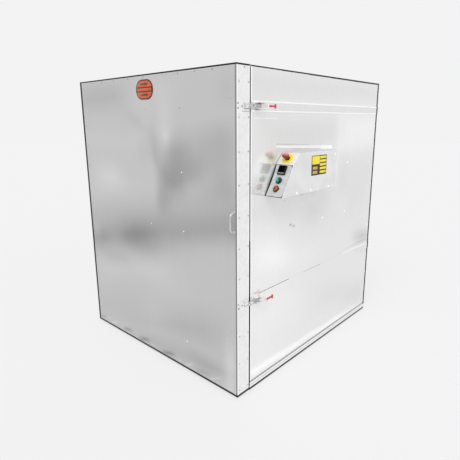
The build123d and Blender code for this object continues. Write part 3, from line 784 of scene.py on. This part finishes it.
# The grey above the flange's leaning line is painted shade.
flange_finish = two_tone(
    "white_coated_flange",
    "#FFFFFF",
    "#FFFFFF",
    "#CFCFCF",
    (0.0, math.sin(FLANGE_SLOPE), math.cos(FLANGE_SLOPE)),
    FLANGE_BRIGHT,
    FLANGE_PAINTED_SHADE,
    0.5,
)
print("the button fades over", round((BUTTON_TOP - BUTTON_RIM) / MM), "mm above its rim")

# %% The lamp's lens
LENS_CORE, LENS_AMBER, LENS_EDGE = 1.5, 7.5, 12.5
LENS_RIBS = 7.0


def ringed_lens(name, centre, out):
    """Amber plastic with a dark core and fine rings about an axis."""
    material, tree = finish(name)
    place = node(tree, "ShaderNodeTexCoord").outputs["Object"]
    turn = out.to_track_quat("Z", "Y").inverted().to_euler()
    centred = node(
        tree, "ShaderNodeVectorMath", {"operation": "SUBTRACT", 1: tuple(centre)}, {0: place}
    )
    turned = node(
        tree, "ShaderNodeMapping", {"Rotation": tuple(turn)}, {"Vector": centred.outputs[0]}
    )
    flat = node(
        tree,
        "ShaderNodeVectorMath",
        {"operation": "MULTIPLY", 1: (1.0, 1.0, 0.0)},
        {0: turned.outputs[0]},
    )
    radius = node(
        tree, "ShaderNodeVectorMath", {"operation": "LENGTH"}, {0: flat.outputs[0]}
    ).outputs["Value"]
    tone = blend_colours(tree, radius, "#2C1204", "#A8621A", LENS_CORE * MM, LENS_AMBER * MM)
    phase = node(
        tree, "ShaderNodeMapRange", {2: LENS_EDGE * MM, 4: LENS_RIBS * math.tau}, {0: radius}
    )
    rings = node(tree, "ShaderNodeMath", {"operation": "SINE"}, {0: phase.outputs[0]})
    ribs = node(
        tree,
        "ShaderNodeBump",
        {"Strength": 0.6, "Distance": 0.3 * MM},
        {"Height": rings.outputs[0]},
    )
    shader = node(
        tree,
        "ShaderNodeBsdfPrincipled",
        {"Roughness": 0.3, "Specular IOR Level": 0.25, "Coat Weight": 0.15},
        {"Base Color": tone, "Normal": ribs.outputs[0]},
    )
    node(tree, "ShaderNodeOutputMaterial", None, {"Surface": shader.outputs[0]})
    return material


lamp_amber = ringed_lens(
    "amber_acrylic_lens", lower_facet @ Vector((0.0, LAMP_UP, 0.0)), facet_out
)
print("the lens has", round(LENS_RIBS), "rings")

# %% [markdown]
# ## Rope and board
# The seal is woven glass rope, black with oven dust, and the insulation inside the walls is
# pressed mineral wool. Crossed waves with some distortion stand for the threads and fibres.

# %% Woven finishes


def woven(name, low, high, thread_mm):
    """A woven rope or pressed fibre: crossing waves give threads with a soft bump."""
    material, tree = finish(name)
    place = node(tree, "ShaderNodeTexCoord").outputs["Object"]
    turned = node(tree, "ShaderNodeMapping", {"Rotation": (0.6, 0.7, 0.8)}, {"Vector": place})
    # A wave texture at scale 1 repeats every 0.3 m.
    threads = node(
        tree,
        "ShaderNodeTexWave",
        {"Scale": 0.3 / (thread_mm * MM), "Distortion": 2.5, "Detail": 2.0},
        {"Vector": turned.outputs[0]},
    )
    tone = blend_colours(tree, threads.outputs["Fac"], low, high)
    raised = node(
        tree,
        "ShaderNodeBump",
        {"Strength": 0.8, "Distance": 0.4 * MM},
        {"Height": threads.outputs["Fac"]},
    )
    shader = node(
        tree,
        "ShaderNodeBsdfPrincipled",
        {"Roughness": 0.9},
        {"Base Color": tone, "Normal": raised.outputs[0]},
    )
    node(tree, "ShaderNodeOutputMaterial", None, {"Surface": shader.outputs[0]})
    return material


seal_rope = woven("black_glass_rope", "#0B0B0B", "#1E1E1F", 1.6)
wool_board = woven("mineral_wool_board", "#8A7D57", "#A4966C", 4.0)
print("finishes so far:", len(bpy.data.materials))

# %% [markdown]
# ## Finishes on the construction
# Each piece of the frame already has its true shape, so it only takes a finish. The list goes
# by the names of the pieces, and a name that ends in a side or a level stands for all of them.

# %% Put the finishes on
FINISHES = {
    "base_rail": rail_zinc,
    "left_wall": wool_board,
    "right_wall": wool_board,
    "back_wall": wool_board,
    "roof_panel": wool_board,
    "floor_panel": wool_board,
    "left_skin": wall_zinc,
    "right_skin": wall_zinc,
    "back_skin": back_zinc,
    "roof_skin": roof_zinc,
    "left_strap_upper": upper_bar_zinc,
    "right_strap_upper": upper_bar_zinc,
    "left_strap_lower": lower_bar_zinc,
    "right_strap_lower": lower_bar_zinc,
    "chamber_liner": lining_zinc,
    "door_seal": seal_rope,
    "door_front_sheet": door_zinc,
    "door_core": wool_board,
    "door_liner": lining_zinc,
    "door_edge_strip": strip_zinc,
    "pull_handle": handle_plating,
    "keeper": latch_plating,
    "hinge": hinge_plating,
    "latch_base": latch_plating,
    "latch_lever": latch_plating,
    "latch_hook": hook_plating,
    "latch_grip": grip_vinyl,
    "console_flange": flange_finish,
    "console": console_coat,
    "cover_plate": plate_coat,
    "controller": instrument_case,
    "pilot_bezel": bezel_black,
    "selector_bezel": bezel_black,
    "pilot_lens": lamp_amber,
    "selector_knob": knob_finish,
    "stop_plate": stop_yellow,
    "stop_collar": stop_grey,
    "stop_button": button_finish,
    "cable_gland": gland_nylon,
}
for name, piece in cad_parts.items():
    stem = max((s for s in FINISHES if name.startswith(s)), key=len)
    if not piece.material_slots:
        piece.data.materials.append(None)
    for place in piece.material_slots:
        place.material = FINISHES[stem]
print(len(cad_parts), "pieces of the frame have their finish")

# %% [markdown]
# ## Rivets
# Blind rivets hold the sheets to the edge strips and to the frame. Each is a low dome about
# 7 mm across, or 16 mm on the ribs, with a dimple where the mandrel broke off. One is shaped
# from a cylinder: its top edge is bevelled round, and the dimple is an inset face pushed in.
# Copies of it, each with its own mesh, are turned to face out of their sheet and joined.

# %% One rivet
RIVET_RADIUS = 3.6 * MM
RIVET_HEIGHT = 1.5 * MM
BIG_RADIUS = 8.0 * MM
TURNS = {
    "-Y": Matrix.Rotation(math.radians(90), 4, "X"),
    "+Y": Matrix.Rotation(math.radians(-90), 4, "X"),
    "+X": Matrix.Rotation(math.radians(90), 4, "Y"),
    "-X": Matrix.Rotation(math.radians(-90), 4, "Y"),
    "+Z": Matrix.Identity(4),
}


def choose_faces(shape, wanted):
    """In edit mode, select only the faces whose middle and normal pass a test."""
    bpy.ops.mesh.select_mode(type="FACE")
    bpy.ops.mesh.select_all(action="DESELECT")
    mesh = bmesh.from_edit_mesh(shape.data)
    for face in mesh.faces:
        face.select_set(wanted(face.calc_center_median(), face.normal))
    mesh.select_flush_mode()
    bmesh.update_edit_mesh(shape.data)


def dome(name, radius, height, sides, dimple, depth):
    """A low round head with a bevelled rim and a small pit, its foot at the origin."""
    bpy.ops.mesh.primitive_cylinder_add(
        vertices=sides, radius=radius, depth=height, location=(0, 0, height / 2)
    )
    shape = bpy.context.object
    shape.name = name
    bpy.ops.object.transform_apply(location=True, rotation=True, scale=True)
    bpy.ops.object.mode_set(mode="EDIT")
    choose_faces(shape, lambda middle, normal: normal.z > 0.9)
    bpy.ops.mesh.bevel(offset=height * 0.8, segments=3, profile=0.5)
    choose_faces(shape, lambda middle, normal: normal.z > 0.99 and middle.z > height * 0.98)
    bpy.ops.mesh.inset(thickness=radius * 0.55 - dimple / 2)
    bpy.ops.mesh.extrude_region_move(TRANSFORM_OT_translate={"value": (0, 0, -depth)})
    bpy.ops.object.mode_set(mode="OBJECT")
    bpy.ops.object.shade_smooth_by_angle(angle=math.radians(50))
    bpy.ops.object.select_all(action="DESELECT")
    return shape


def join_as(name, pieces, body):
    """Join pieces into one object that rides on a body."""
    bpy.ops.object.select_all(action="DESELECT")
    for piece in pieces:
        piece.select_set(True)
    bpy.context.view_layer.objects.active = pieces[0]
    if len(pieces) > 1:
        bpy.ops.object.join()
    joined = bpy.context.object
    joined.name = name
    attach(joined, body)
    bpy.ops.object.select_all(action="DESELECT")


def set_out(master, name, places, facing, body, material):
    """Join a copy of master at each place, all facing one way, as one piece on a body."""
    copies = []
    for place in places:
        copy = bpy.data.objects.new(name, master.data.copy())
        copy.data.transform(Matrix.Translation(Vector(place) * MM) @ TURNS[facing])
        copy.data.materials.clear()
        copy.data.materials.append(material)
        bpy.context.collection.objects.link(copy)
        copies.append(copy)
    print(name, len(places))
    join_as(name, copies, body)


rivet = dome("rivet_master", RIVET_RADIUS, RIVET_HEIGHT, 12, 1.2 * MM, 0.4 * MM)
big_rivet = dome("big_rivet_master", BIG_RADIUS, RIVET_HEIGHT, 16, 2.0 * MM, 0.4 * MM)

# %% [markdown]
# ## Where the rivets go
# The rows follow the real spacing. The door's front sheet is riveted all round, its edge strip
# along both margins, and the walls along their edges and where they meet the ribs inside.
# Most heads on the sheets take the tone of their sheet, so that only their edges show. Those
# along the door's top and on the strip are painted darker as shade, and a few on the ribs are
# wide and painted near white as a highlight.

# %% Rivets on the door


def row(start, end, pitch):
    """Even steps of about one pitch from start to end, both ends included."""
    steps = max(1, round((end - start) / pitch))
    return [start + (end - start) * i / steps for i in range(steps + 1)]


DOOR_MARGIN = 16.0
DOOR_SIDE_MARGIN = 40.0
DOOR_PITCH = 137.0
SIDE_START, SIDE_END, SIDE_PITCH = 108.0, 145.0, 129.0
BOTTOM_END = 500.0
TOP_ROW = (-525.0, -415.0, -285.0, -139.0, 1.0, 287.0, 411.0, 529.0)
GRID_ACROSS = (-300.0, 0.0, 290.0)
GRID_UP = (187.0, 832.0, 1148.0)
MIDDLE_RIB, RIGHT_RIB = 12.0, 293.0
door_face = door_low.y
places = [(x, door_face, door_high.z - DOOR_MARGIN) for x in TOP_ROW]
side_rows = row(door_low.z + SIDE_START, door_high.z - SIDE_END, SIDE_PITCH)
places += [(door_low.x + DOOR_SIDE_MARGIN, door_face, z) for z in side_rows]
places.append((RIGHT_RIB, door_face, upper_level - 3))
set_out(rivet, "door_sheet_rivets", places, "-Y", "door", rivet_painted_shade)
places = [(door_high.x - DOOR_SIDE_MARGIN, door_face, z) for z in side_rows]
bottom_row = row(-BOTTOM_END, BOTTOM_END, DOOR_PITCH)
places += [(x, door_face, door_low.z + DOOR_MARGIN) for x in bottom_row]
places += [(x, door_face, lower_level) for x in GRID_ACROSS]
places += [(x, door_face, upper_level) for x in GRID_ACROSS[:2]]
places += [(GRID_ACROSS[0], door_face, z) for z in GRID_UP]
set_out(rivet, "door_flush_rivets", places, "-Y", "door", door_zinc)
places = [(MIDDLE_RIB, door_face, GRID_UP[1])]
places += [(RIGHT_RIB, door_face, z) for z in GRID_UP]
set_out(rivet, "door_rib_rivets", places, "-Y", "door", rivet_painted_glint)

# %% Rivets round the door's edge
STRIP_START, STRIP_END, STRIP_PITCH = 36.0, 76.0, 153.0
KEEPER_RIVETS = ((10.0, 10.5), (10.0, -10.5), (37.0, -2.0))
TOP_CORNER = 15.0
FRONT_MARGIN = 16.0
BACK_MARGIN = 8.0
for side, facing in (("right", "+X"), ("left", "-X")):
    face = strip_high.x if side == "right" else strip_low.x
    places = [(face, (strip_low.y + strip_high.y) / 2 + 8, strip_high.z - TOP_CORNER)]
    for z in row(strip_low.z + STRIP_START, strip_high.z - STRIP_END, STRIP_PITCH):
        places.append((face, door_face + FRONT_MARGIN, z))
        places.append((face, strip_high.y - BACK_MARGIN, z))
    name = f"door_{side}_edge_rivets"
    set_out(rivet, name, places, facing, "door", rivet_painted_shade)
    if side == "right":
        # The keeper's rivets take the near-black finish of painted shade.
        places = [
            (face, door_face + away, level + step)
            for level in LEVELS.values()
            for away, step in KEEPER_RIVETS
        ]
        set_out(rivet, "keeper_rivets", places, facing, "door", keeper_pin_painted_shade)
places = [
    (x, y, strip_high.z)
    for x in row(strip_low.x + DOOR_SIDE_MARGIN, strip_high.x - DOOR_SIDE_MARGIN, STRIP_PITCH)
    for y in (door_face + FRONT_MARGIN, strip_high.y - BACK_MARGIN)
]
set_out(rivet, "door_top_edge_rivets", places, "+Z", "door", rivet_painted_shade)

# %% Rivets on the walls
WALL_PITCH = 133.0
WALL_CORNER = 150.0
WALL_START, WALL_END = 130.0, 15.5
WALL_MARGIN = 20.0
STRAP_START, STRAP_END, STRAP_PITCH = 423.0, 97.0, 143.0
STRAP_CLEAR = 40.0
BRIGHT_RIVETS = ((0.0, 832.0), (278.0, 830.0), (285.0, 1146.0), (640.0, 670.0))
for side, facing, face, strap_face in (
    ("right", "+X", skin_high.x, upper_high.x),
    ("left", "-X", -skin_high.x, -upper_high.x),
):
    wall_rows = row(skin_low.z + WALL_START, skin_high.z - WALL_END, WALL_PITCH)
    places = [
        (face, y, z)
        for y in (skin_low.y + WALL_MARGIN, skin_high.y - WALL_MARGIN)
        for z in wall_rows
        if all(abs(z - level) > STRAP_CLEAR for level in LEVELS.values())
    ]
    places += [(face, y, GRID_UP[0]) for y in GRID_ACROSS]
    name = f"{side}_wall_rivets"
    set_out(rivet, name, places, facing, "cabinet", wall_zinc)
    places = [(face, y, z) for y, z in BRIGHT_RIVETS]
    set_out(big_rivet, f"{side}_rib_rivets", places, facing, "cabinet", rivet_painted_glint)
    for level, bar_zinc in (("upper", upper_bar_zinc), ("lower", lower_bar_zinc)):
        spots = row(-STRAP_START, skin_high.y - STRAP_END, STRAP_PITCH)
        places = [(strap_face, y, LEVELS[level]) for y in spots]
        name = f"{side}_{level}_strap_rivets"
        set_out(rivet, name, places, facing, "cabinet", bar_zinc)

# %% Rivets on the back and the roof
back_low, back_high = corners_mm("back_skin")
places = [
    (x, back_high.y, z)
    for x in (back_low.x + WALL_MARGIN, back_high.x - WALL_MARGIN)
    for z in row(back_low.z + WALL_MARGIN, back_high.z - WALL_MARGIN, WALL_PITCH)
]
places += [
    (x, back_high.y, z)
    for x in row(back_low.x + WALL_CORNER, back_high.x - WALL_CORNER, WALL_PITCH)
    for z in (back_low.z + WALL_MARGIN, back_high.z - WALL_MARGIN)
]
set_out(rivet, "back_wall_rivets", places, "+Y", "cabinet", rivet_painted_shade)
places = [
    (x, y, roof_high.z)
    for x in (roof_low.x + WALL_MARGIN, roof_high.x - WALL_MARGIN)
    for y in row(roof_low.y + WALL_MARGIN, roof_high.y - WALL_MARGIN, WALL_PITCH)
]
places += [
    (x, y, roof_high.z)
    for x in row(roof_low.x + WALL_CORNER, roof_high.x - WALL_CORNER, WALL_PITCH)
    for y in (roof_low.y + WALL_MARGIN, roof_high.y - WALL_MARGIN)
]
set_out(rivet, "roof_rivets", places, "+Z", "cabinet", rivet_painted_shade)

# %% [markdown]
# ## Screws
# The latch bases, the keepers and the hinge leaves are held by small pan-head screws, and the
# console by a few wide rivets. A screw is the same kind of dome with a cross-shaped drive. At
# this size the drive reads as a round pit, so a screw's pit is wider and deeper than a
# rivet's.

# %% Screws
screw = dome("screw_master", 3.0 * MM, 1.9 * MM, 14, 2.4 * MM, 0.9 * MM)
keeper_low = corners_mm("keeper_upper")[0]
base_high = corners_mm("latch_base_upper")[1]
leaf_high = corners_mm("hinge_body_upper")[1]
door_leaf_low = corners_mm("hinge_door_upper")[0]
KEEPER_SHEET = 3.0
BASE_SHEET = 2.2
LEAF_SHEET = 5.0
LEAF_MARGIN = 14.0
LEAF_SCREWS = ((0.0, -32.0), (0.0, 32.0), (14.0, 0.0))
KEEPER_SCREWS = (-9.0, 9.0)
BASE_SCREWS = ((7.0, -10.5), (7.0, 10.5), (22.0, -10.5), (22.0, 10.5))
for level, height in LEVELS.items():
    keeper_face = strip_high.x + KEEPER_SHEET
    places = [(keeper_face, keeper_low.y + 6, height + step) for step in KEEPER_SCREWS]
    name = f"keeper_screws_{level}"
    set_out(screw, name, places, "+X", "door", hinge_plating)
    base_face = upper_high.x + BASE_SHEET
    places = [(base_face, base_high.y - away, height + step) for away, step in BASE_SCREWS]
    name = f"latch_screws_{level}"
    set_out(screw, name, places, "+X", "cabinet", latch_plating)
    places = [
        (-upper_high.x - LEAF_SHEET, leaf_high.y - LEAF_MARGIN - away, height + step)
        for away, step in LEAF_SCREWS
    ]
    name = f"hinge_screws_{level}"
    set_out(screw, name, places, "-X", "cabinet", hinge_plating)
    places = [
        (strip_low.x - LEAF_SHEET, door_leaf_low.y + LEAF_MARGIN + away, height + step)
        for away, step in LEAF_SCREWS
    ]
    name = f"door_hinge_screws_{level}"
    set_out(screw, name, places, "-X", "door", hinge_plating)
# The console's wide rivets are painted near white as a highlight.
CONSOLE_ROW = (-437.0, -310.0, -126.0)
places = [(console_high.x, y, console_low.z + 10) for y in CONSOLE_ROW]
places.append((console_high.x, -70.0, console_high.z - 24))
set_out(big_rivet, "console_rivets", places, "+X", "cabinet", rivet_painted_glint)

# %% [markdown]
# ## Plates and panels
# The badge, the notice and the instrument's face are all thin plates with rounded corners.
# One helper makes them: a plane is sized, its corners are bevelled round, it is extruded to
# its thickness, and the rim of its front face is bevelled to catch the light. Each plate is
# made flat at the origin, and then a matrix carries its mesh to its place.

# %% A rounded plate


def rounded_plate(name, centre, size, corner, thick, rim, material, lift=0.0):
    """A plate on the XY plane, in millimetres, with its foot at a lift above it."""
    bpy.ops.mesh.primitive_plane_add(size=1.0, location=(0, 0, 0))
    shape = bpy.context.object
    shape.name = name
    shape.scale = (size[0], size[1], 1.0)
    shape.location = (centre[0], centre[1], lift)
    bpy.ops.object.transform_apply(location=True, rotation=True, scale=True)
    bpy.ops.object.mode_set(mode="EDIT")
    bpy.ops.mesh.select_all(action="SELECT")
    bpy.ops.mesh.bevel(offset=corner, segments=6, affect="VERTICES")
    bpy.ops.mesh.select_all(action="SELECT")
    bpy.ops.mesh.extrude_region_move(TRANSFORM_OT_translate={"value": (0, 0, thick)})
    bpy.ops.mesh.select_all(action="SELECT")
    bpy.ops.mesh.normals_make_consistent(inside=False)
    choose_faces(shape, lambda middle, normal: normal.z > 0.9)
    bpy.ops.mesh.bevel(offset=rim, segments=2, profile=0.5)
    bpy.ops.object.mode_set(mode="OBJECT")
    bpy.ops.object.shade_smooth_by_angle(angle=math.radians(40))
    shape.data.materials.append(material)
    bpy.ops.object.select_all(action="DESELECT")
    return shape


def mount(shapes, place, name, body):
    """Carry flat shapes to their place and join them as one piece."""
    for shape in shapes:
        shape.data.transform(place)
    print(name, len(shapes), "parts")
    join_as(name, shapes, body)


# %% [markdown]
# ## Badge and notice
# The door carries a plain enamelled badge, an orange oval with a dark rim and level bars. The
# console carries a notice plate that is ruled in yellow, tan and dark.

# %% Badge on the door
BADGE = (10.0, 1571.0)
BADGE_SIZE = (150.0, 104.0)
on_door = Matrix.Translation(Vector((BADGE[0], door_face, BADGE[1])) * MM)
on_door = on_door @ TURNS["-Y"] @ Matrix.Scale(MM, 4)
badge = [
    rounded_plate("badge", (0, 0), BADGE_SIZE, 50.0, 1.6, 0.6, badge_rim),
    rounded_plate("field", (0, 0), (136.0, 90.0), 43.0, 0.5, 0.3, badge_field, 1.5),
    rounded_plate("bar", (0, 0), (142.0, 27.0), 6.0, 0.5, 0.2, badge_rim, 1.9),
    rounded_plate("bar", (0, 0), (128.0, 15.0), 5.0, 0.4, 0.2, badge_field, 2.2),
    rounded_plate("bar", (0, 28), (66.0, 7.0), 3.0, 0.4, 0.2, badge_rim, 1.9),
    rounded_plate("bar", (0, -28), (66.0, 7.0), 3.0, 0.4, 0.2, badge_rim, 1.9),
]
mount(badge, on_door, "door_badge", "door")

# %% Notice on the console
NOTICE = (-236.5, 1176.5)
NOTICE_SIZE = (149.0, 103.0)
RULE_TOP, RULE_PITCH = 40.0, 19.4
on_wall = Matrix((Vector((0, 1, 0)), Vector((0, 0, 1)), Vector((1, 0, 0)))).transposed().to_4x4()
notice_place = Matrix.Translation(Vector((console_high.x, NOTICE[0], NOTICE[1])) * MM)
notice_place = notice_place @ on_wall @ Matrix.Scale(MM, 4)
notice = [rounded_plate("notice", (0, 0), NOTICE_SIZE, 3.0, 0.8, 0.2, notice_dark)]
notice.append(
    rounded_plate("head", (-33.0, 27.0), (74.0, 42.0), 2.0, 0.3, 0.1, notice_yellow, 0.7)
)
for up in (-13.5, -36.0):
    notice.append(
        rounded_plate("panel", (-40.0, up), (46.0, 15.0), 2.0, 0.3, 0.1, notice_tan, 0.7)
    )
for i in range(5):
    centre = (38.0, RULE_TOP - RULE_PITCH * i)
    notice.append(rounded_plate("rule", centre, (62.0, 12.5), 2.0, 0.3, 0.1, notice_yellow, 0.7))
mount(notice, notice_place, "console_notice", "cabinet")

# %% [markdown]
# ## Instrument face
# The controller is off: its window is a black acrylic pane, and below it a grey strip carries
# four small keys. The strip and keys stand a little proud of the case.

# %% Window and keys
CASE_OUT = 9.0
WINDOW_DEPTH = 1.0
STRIP_DOWN = 18.0
KEY_PITCH = 9.6
window_middle = (0, CONTROLLER_UP + 4.5)
strip_middle = (0, CONTROLLER_UP - STRIP_DOWN)
pane_lift = CASE_OUT - WINDOW_DEPTH
face_parts = [
    rounded_plate("window", window_middle, (38.6, 32.6), 2.3, 0.7, 0.2, window_glass, pane_lift),
    rounded_plate("strip", strip_middle, (40.0, 6.4), 1.2, 0.5, 0.2, key_grey, CASE_OUT - 0.1),
]
for i in range(4):
    centre = (KEY_PITCH * (i - 1.5), strip_middle[1])
    face_parts.append(
        rounded_plate("key", centre, (5.4, 3.0), 1.0, 0.7, 0.3, plate_coat, CASE_OUT + 0.3)
    )
mount(face_parts, lower_facet, "controller_face", "cabinet")

# %% [markdown]
# ## Gasket round the cover plate
# The cover plate lies in a recess on a black gasket, which stands in for the shadow in the gap
# round the plate: it shows as a dark line where the plate stops short. Its outline follows the
# plate's own: a bowed edge beside the wall and a notch at each outer corner. Two loops of edges,
# one along the recess and one along the plate, are bridged to a flat ring, which is then
# extruded to its thickness.

# %% Outlines of the gasket
RECESS_RIM = 1.5
RECESS_DEPTH = 3.0
GASKET_THICK = 2.5
half_recess = (console_high.x - console_low.x) / 2 - RECESS_RIM
recess_top = LOWER_FACET - RECESS_RIM
PLATE_LEFT, PLATE_RIGHT = 3.0, 1.2
PLATE_LOW, PLATE_HIGH = 3.5, 2.5
PLATE_BOW = 5.0
NOTCH_ACROSS, NOTCH_ALONG = 5.0, 11.0
left = -half_recess + PLATE_LEFT
right = half_recess - PLATE_RIGHT
low = RECESS_RIM + PLATE_LOW
high = recess_top - PLATE_HIGH
plate_line = [
    (right - NOTCH_ACROSS, low),
    (right - NOTCH_ACROSS, low + NOTCH_ALONG / 2),
    (right, low + NOTCH_ALONG),
    (right, high - NOTCH_ALONG),
    (right - NOTCH_ACROSS, high - NOTCH_ALONG / 2),
    (right - NOTCH_ACROSS, high),
]
BOW_STEPS = 12
for i in range(BOW_STEPS + 1):
    rise = i / BOW_STEPS
    bow = PLATE_BOW * (1 - (2 * rise - 1) ** 2)
    plate_line.append((left + bow, high - (high - low) * rise))
recess_line = [
    (half_recess, RECESS_RIM),
    (half_recess, RECESS_RIM + NOTCH_ALONG / 2),
    (half_recess, low + NOTCH_ALONG),
    (half_recess, high - NOTCH_ALONG),
    (half_recess, recess_top - NOTCH_ALONG / 2),
    (half_recess, recess_top),
]
for i in range(BOW_STEPS + 1):
    recess_line.append((-half_recess, recess_top + (RECESS_RIM - recess_top) * i / BOW_STEPS))
print(len(recess_line), "points round the recess and", len(plate_line), "round the plate")

# %% Bridge the gasket
loops = bpy.data.meshes.new("cover_shadow_gasket")
count = len(plate_line)
ring_edges = [(i, (i + 1) % count) for i in range(count)]
loops.from_pydata(
    [(x, y, -RECESS_DEPTH + 0.05) for x, y in recess_line + plate_line],
    ring_edges + [(a + count, b + count) for a, b in ring_edges],
    [],
)
gasket = bpy.data.objects.new("cover_shadow_gasket", loops)
bpy.context.collection.objects.link(gasket)
bpy.context.view_layer.objects.active = gasket
gasket.select_set(True)
bpy.ops.object.mode_set(mode="EDIT")
bpy.ops.mesh.select_all(action="SELECT")
bpy.ops.mesh.bridge_edge_loops()
bpy.ops.mesh.select_all(action="SELECT")
bpy.ops.mesh.extrude_region_move(TRANSFORM_OT_translate={"value": (0, 0, GASKET_THICK)})
bpy.ops.mesh.select_all(action="SELECT")
bpy.ops.mesh.normals_make_consistent(inside=False)
bpy.ops.object.mode_set(mode="OBJECT")
gasket.data.materials.append(gasket_painted_shadow)
bpy.ops.object.select_all(action="DESELECT")
mount([gasket], lower_facet, "cover_shadow_gasket", "cabinet")

# %% [markdown]
# ## Light, floor and background
# A pale studio suits bare metal: what a mirror-like wall shows is the room. The world is an
# even light grey, and rays from the camera and from reflections see it lighter. The floor
# glows for the same rays alone, so that it joins the background. One wide sun from high on
# the left of the camera gives the console's sloping faces their brightness, and a weak one
# from the right lifts the side wall. Suns light every place alike, so the pale floor keeps
# one tone up to the horizon and still takes a soft shadow.

# %% World
BACKGROUND = "#F3F3F3"
FLOOR_GLOW = 0.7
scene = bpy.context.scene
scene.view_settings.view_transform = "Standard"


def on_rays(tree, kinds, share):
    """A factor that is the share on rays of these kinds, and nothing on all others."""
    rays = node(tree, "ShaderNodeLightPath")
    total = rays.outputs[kinds[0]]
    for kind in kinds[1:]:
        both = node(
            tree, "ShaderNodeMath", {"operation": "MAXIMUM"}, {0: total, 1: rays.outputs[kind]}
        )
        total = both.outputs[0]
    part = node(tree, "ShaderNodeMath", {"operation": "MULTIPLY", 1: share}, {0: total})
    return part.outputs[0]


world = bpy.data.worlds.new("pale_studio")
scene.world = world
world.use_nodes = True
tree = world.node_tree
tree.nodes.clear()
in_mirrors = on_rays(tree, ["Is Glossy Ray"], 1.0)
in_view = on_rays(tree, ["Is Camera Ray", "Is Transmission Ray"], 1.0)
room = node(tree, "ShaderNodeBackground", {"Color": linear("#FFFFFF"), "Strength": 0.7})
mirrored = node(tree, "ShaderNodeBackground", {"Color": linear("#F6F6F6"), "Strength": 1.0})
shown = node(tree, "ShaderNodeBackground", {"Color": linear(BACKGROUND), "Strength": 1.0})
lit = node(
    tree, "ShaderNodeMixShader", None, {0: in_mirrors, 1: room.outputs[0], 2: mirrored.outputs[0]}
)
mixed = node(
    tree, "ShaderNodeMixShader", None, {0: in_view, 1: lit.outputs[0], 2: shown.outputs[0]}
)
node(tree, "ShaderNodeOutputWorld", None, {"Surface": mixed.outputs[0]})
print("world:", world.name)

# %% Suns


def sun(name, towards, strength, width):
    """A soft sun that shines from a direction, its width in degrees."""
    bpy.ops.object.light_add(type="SUN", location=Vector(towards) * 5)
    light = bpy.context.object
    light.name = name
    light.data.energy = strength
    light.data.angle = math.radians(width)
    light.rotation_euler = Vector(towards).to_track_quat("Z", "Y").to_euler()
    print(name, "strength", strength)


sun("key_sun", (0.30, -0.55, 0.78), 1.4, 40.0)
sun("side_sun", (0.9, 0.15, 0.4), 0.25, 50.0)

# %% Floor
bpy.ops.mesh.primitive_plane_add(size=60.0, location=(0, 0, -0.0005))
floor = bpy.context.object
floor.name = "floor"
paper, tree = finish("pale_studio_floor")
matt = node(tree, "ShaderNodeBsdfDiffuse", {"Color": linear("#ECECEC")})
glow = node(tree, "ShaderNodeEmission", {"Color": linear(BACKGROUND), "Strength": 1.0})
seen = on_rays(tree, ["Is Camera Ray", "Is Glossy Ray", "Is Transmission Ray"], FLOOR_GLOW)
shade = node(tree, "ShaderNodeMixShader", None, {0: seen, 1: matt.outputs[0], 2: glow.outputs[0]})
node(tree, "ShaderNodeOutputMaterial", None, {"Surface": shade.outputs[0]})
floor.data.materials.append(paper)
bpy.ops.object.select_all(action="DESELECT")
print("the floor glows at", FLOOR_GLOW, "of the background, for seen rays alone")

# %% [markdown]
# ## Clear up
# The master shapes have done their work, so they are removed.

# %% Finish
for master in (rivet, big_rivet, screw):
    bpy.data.objects.remove(master)
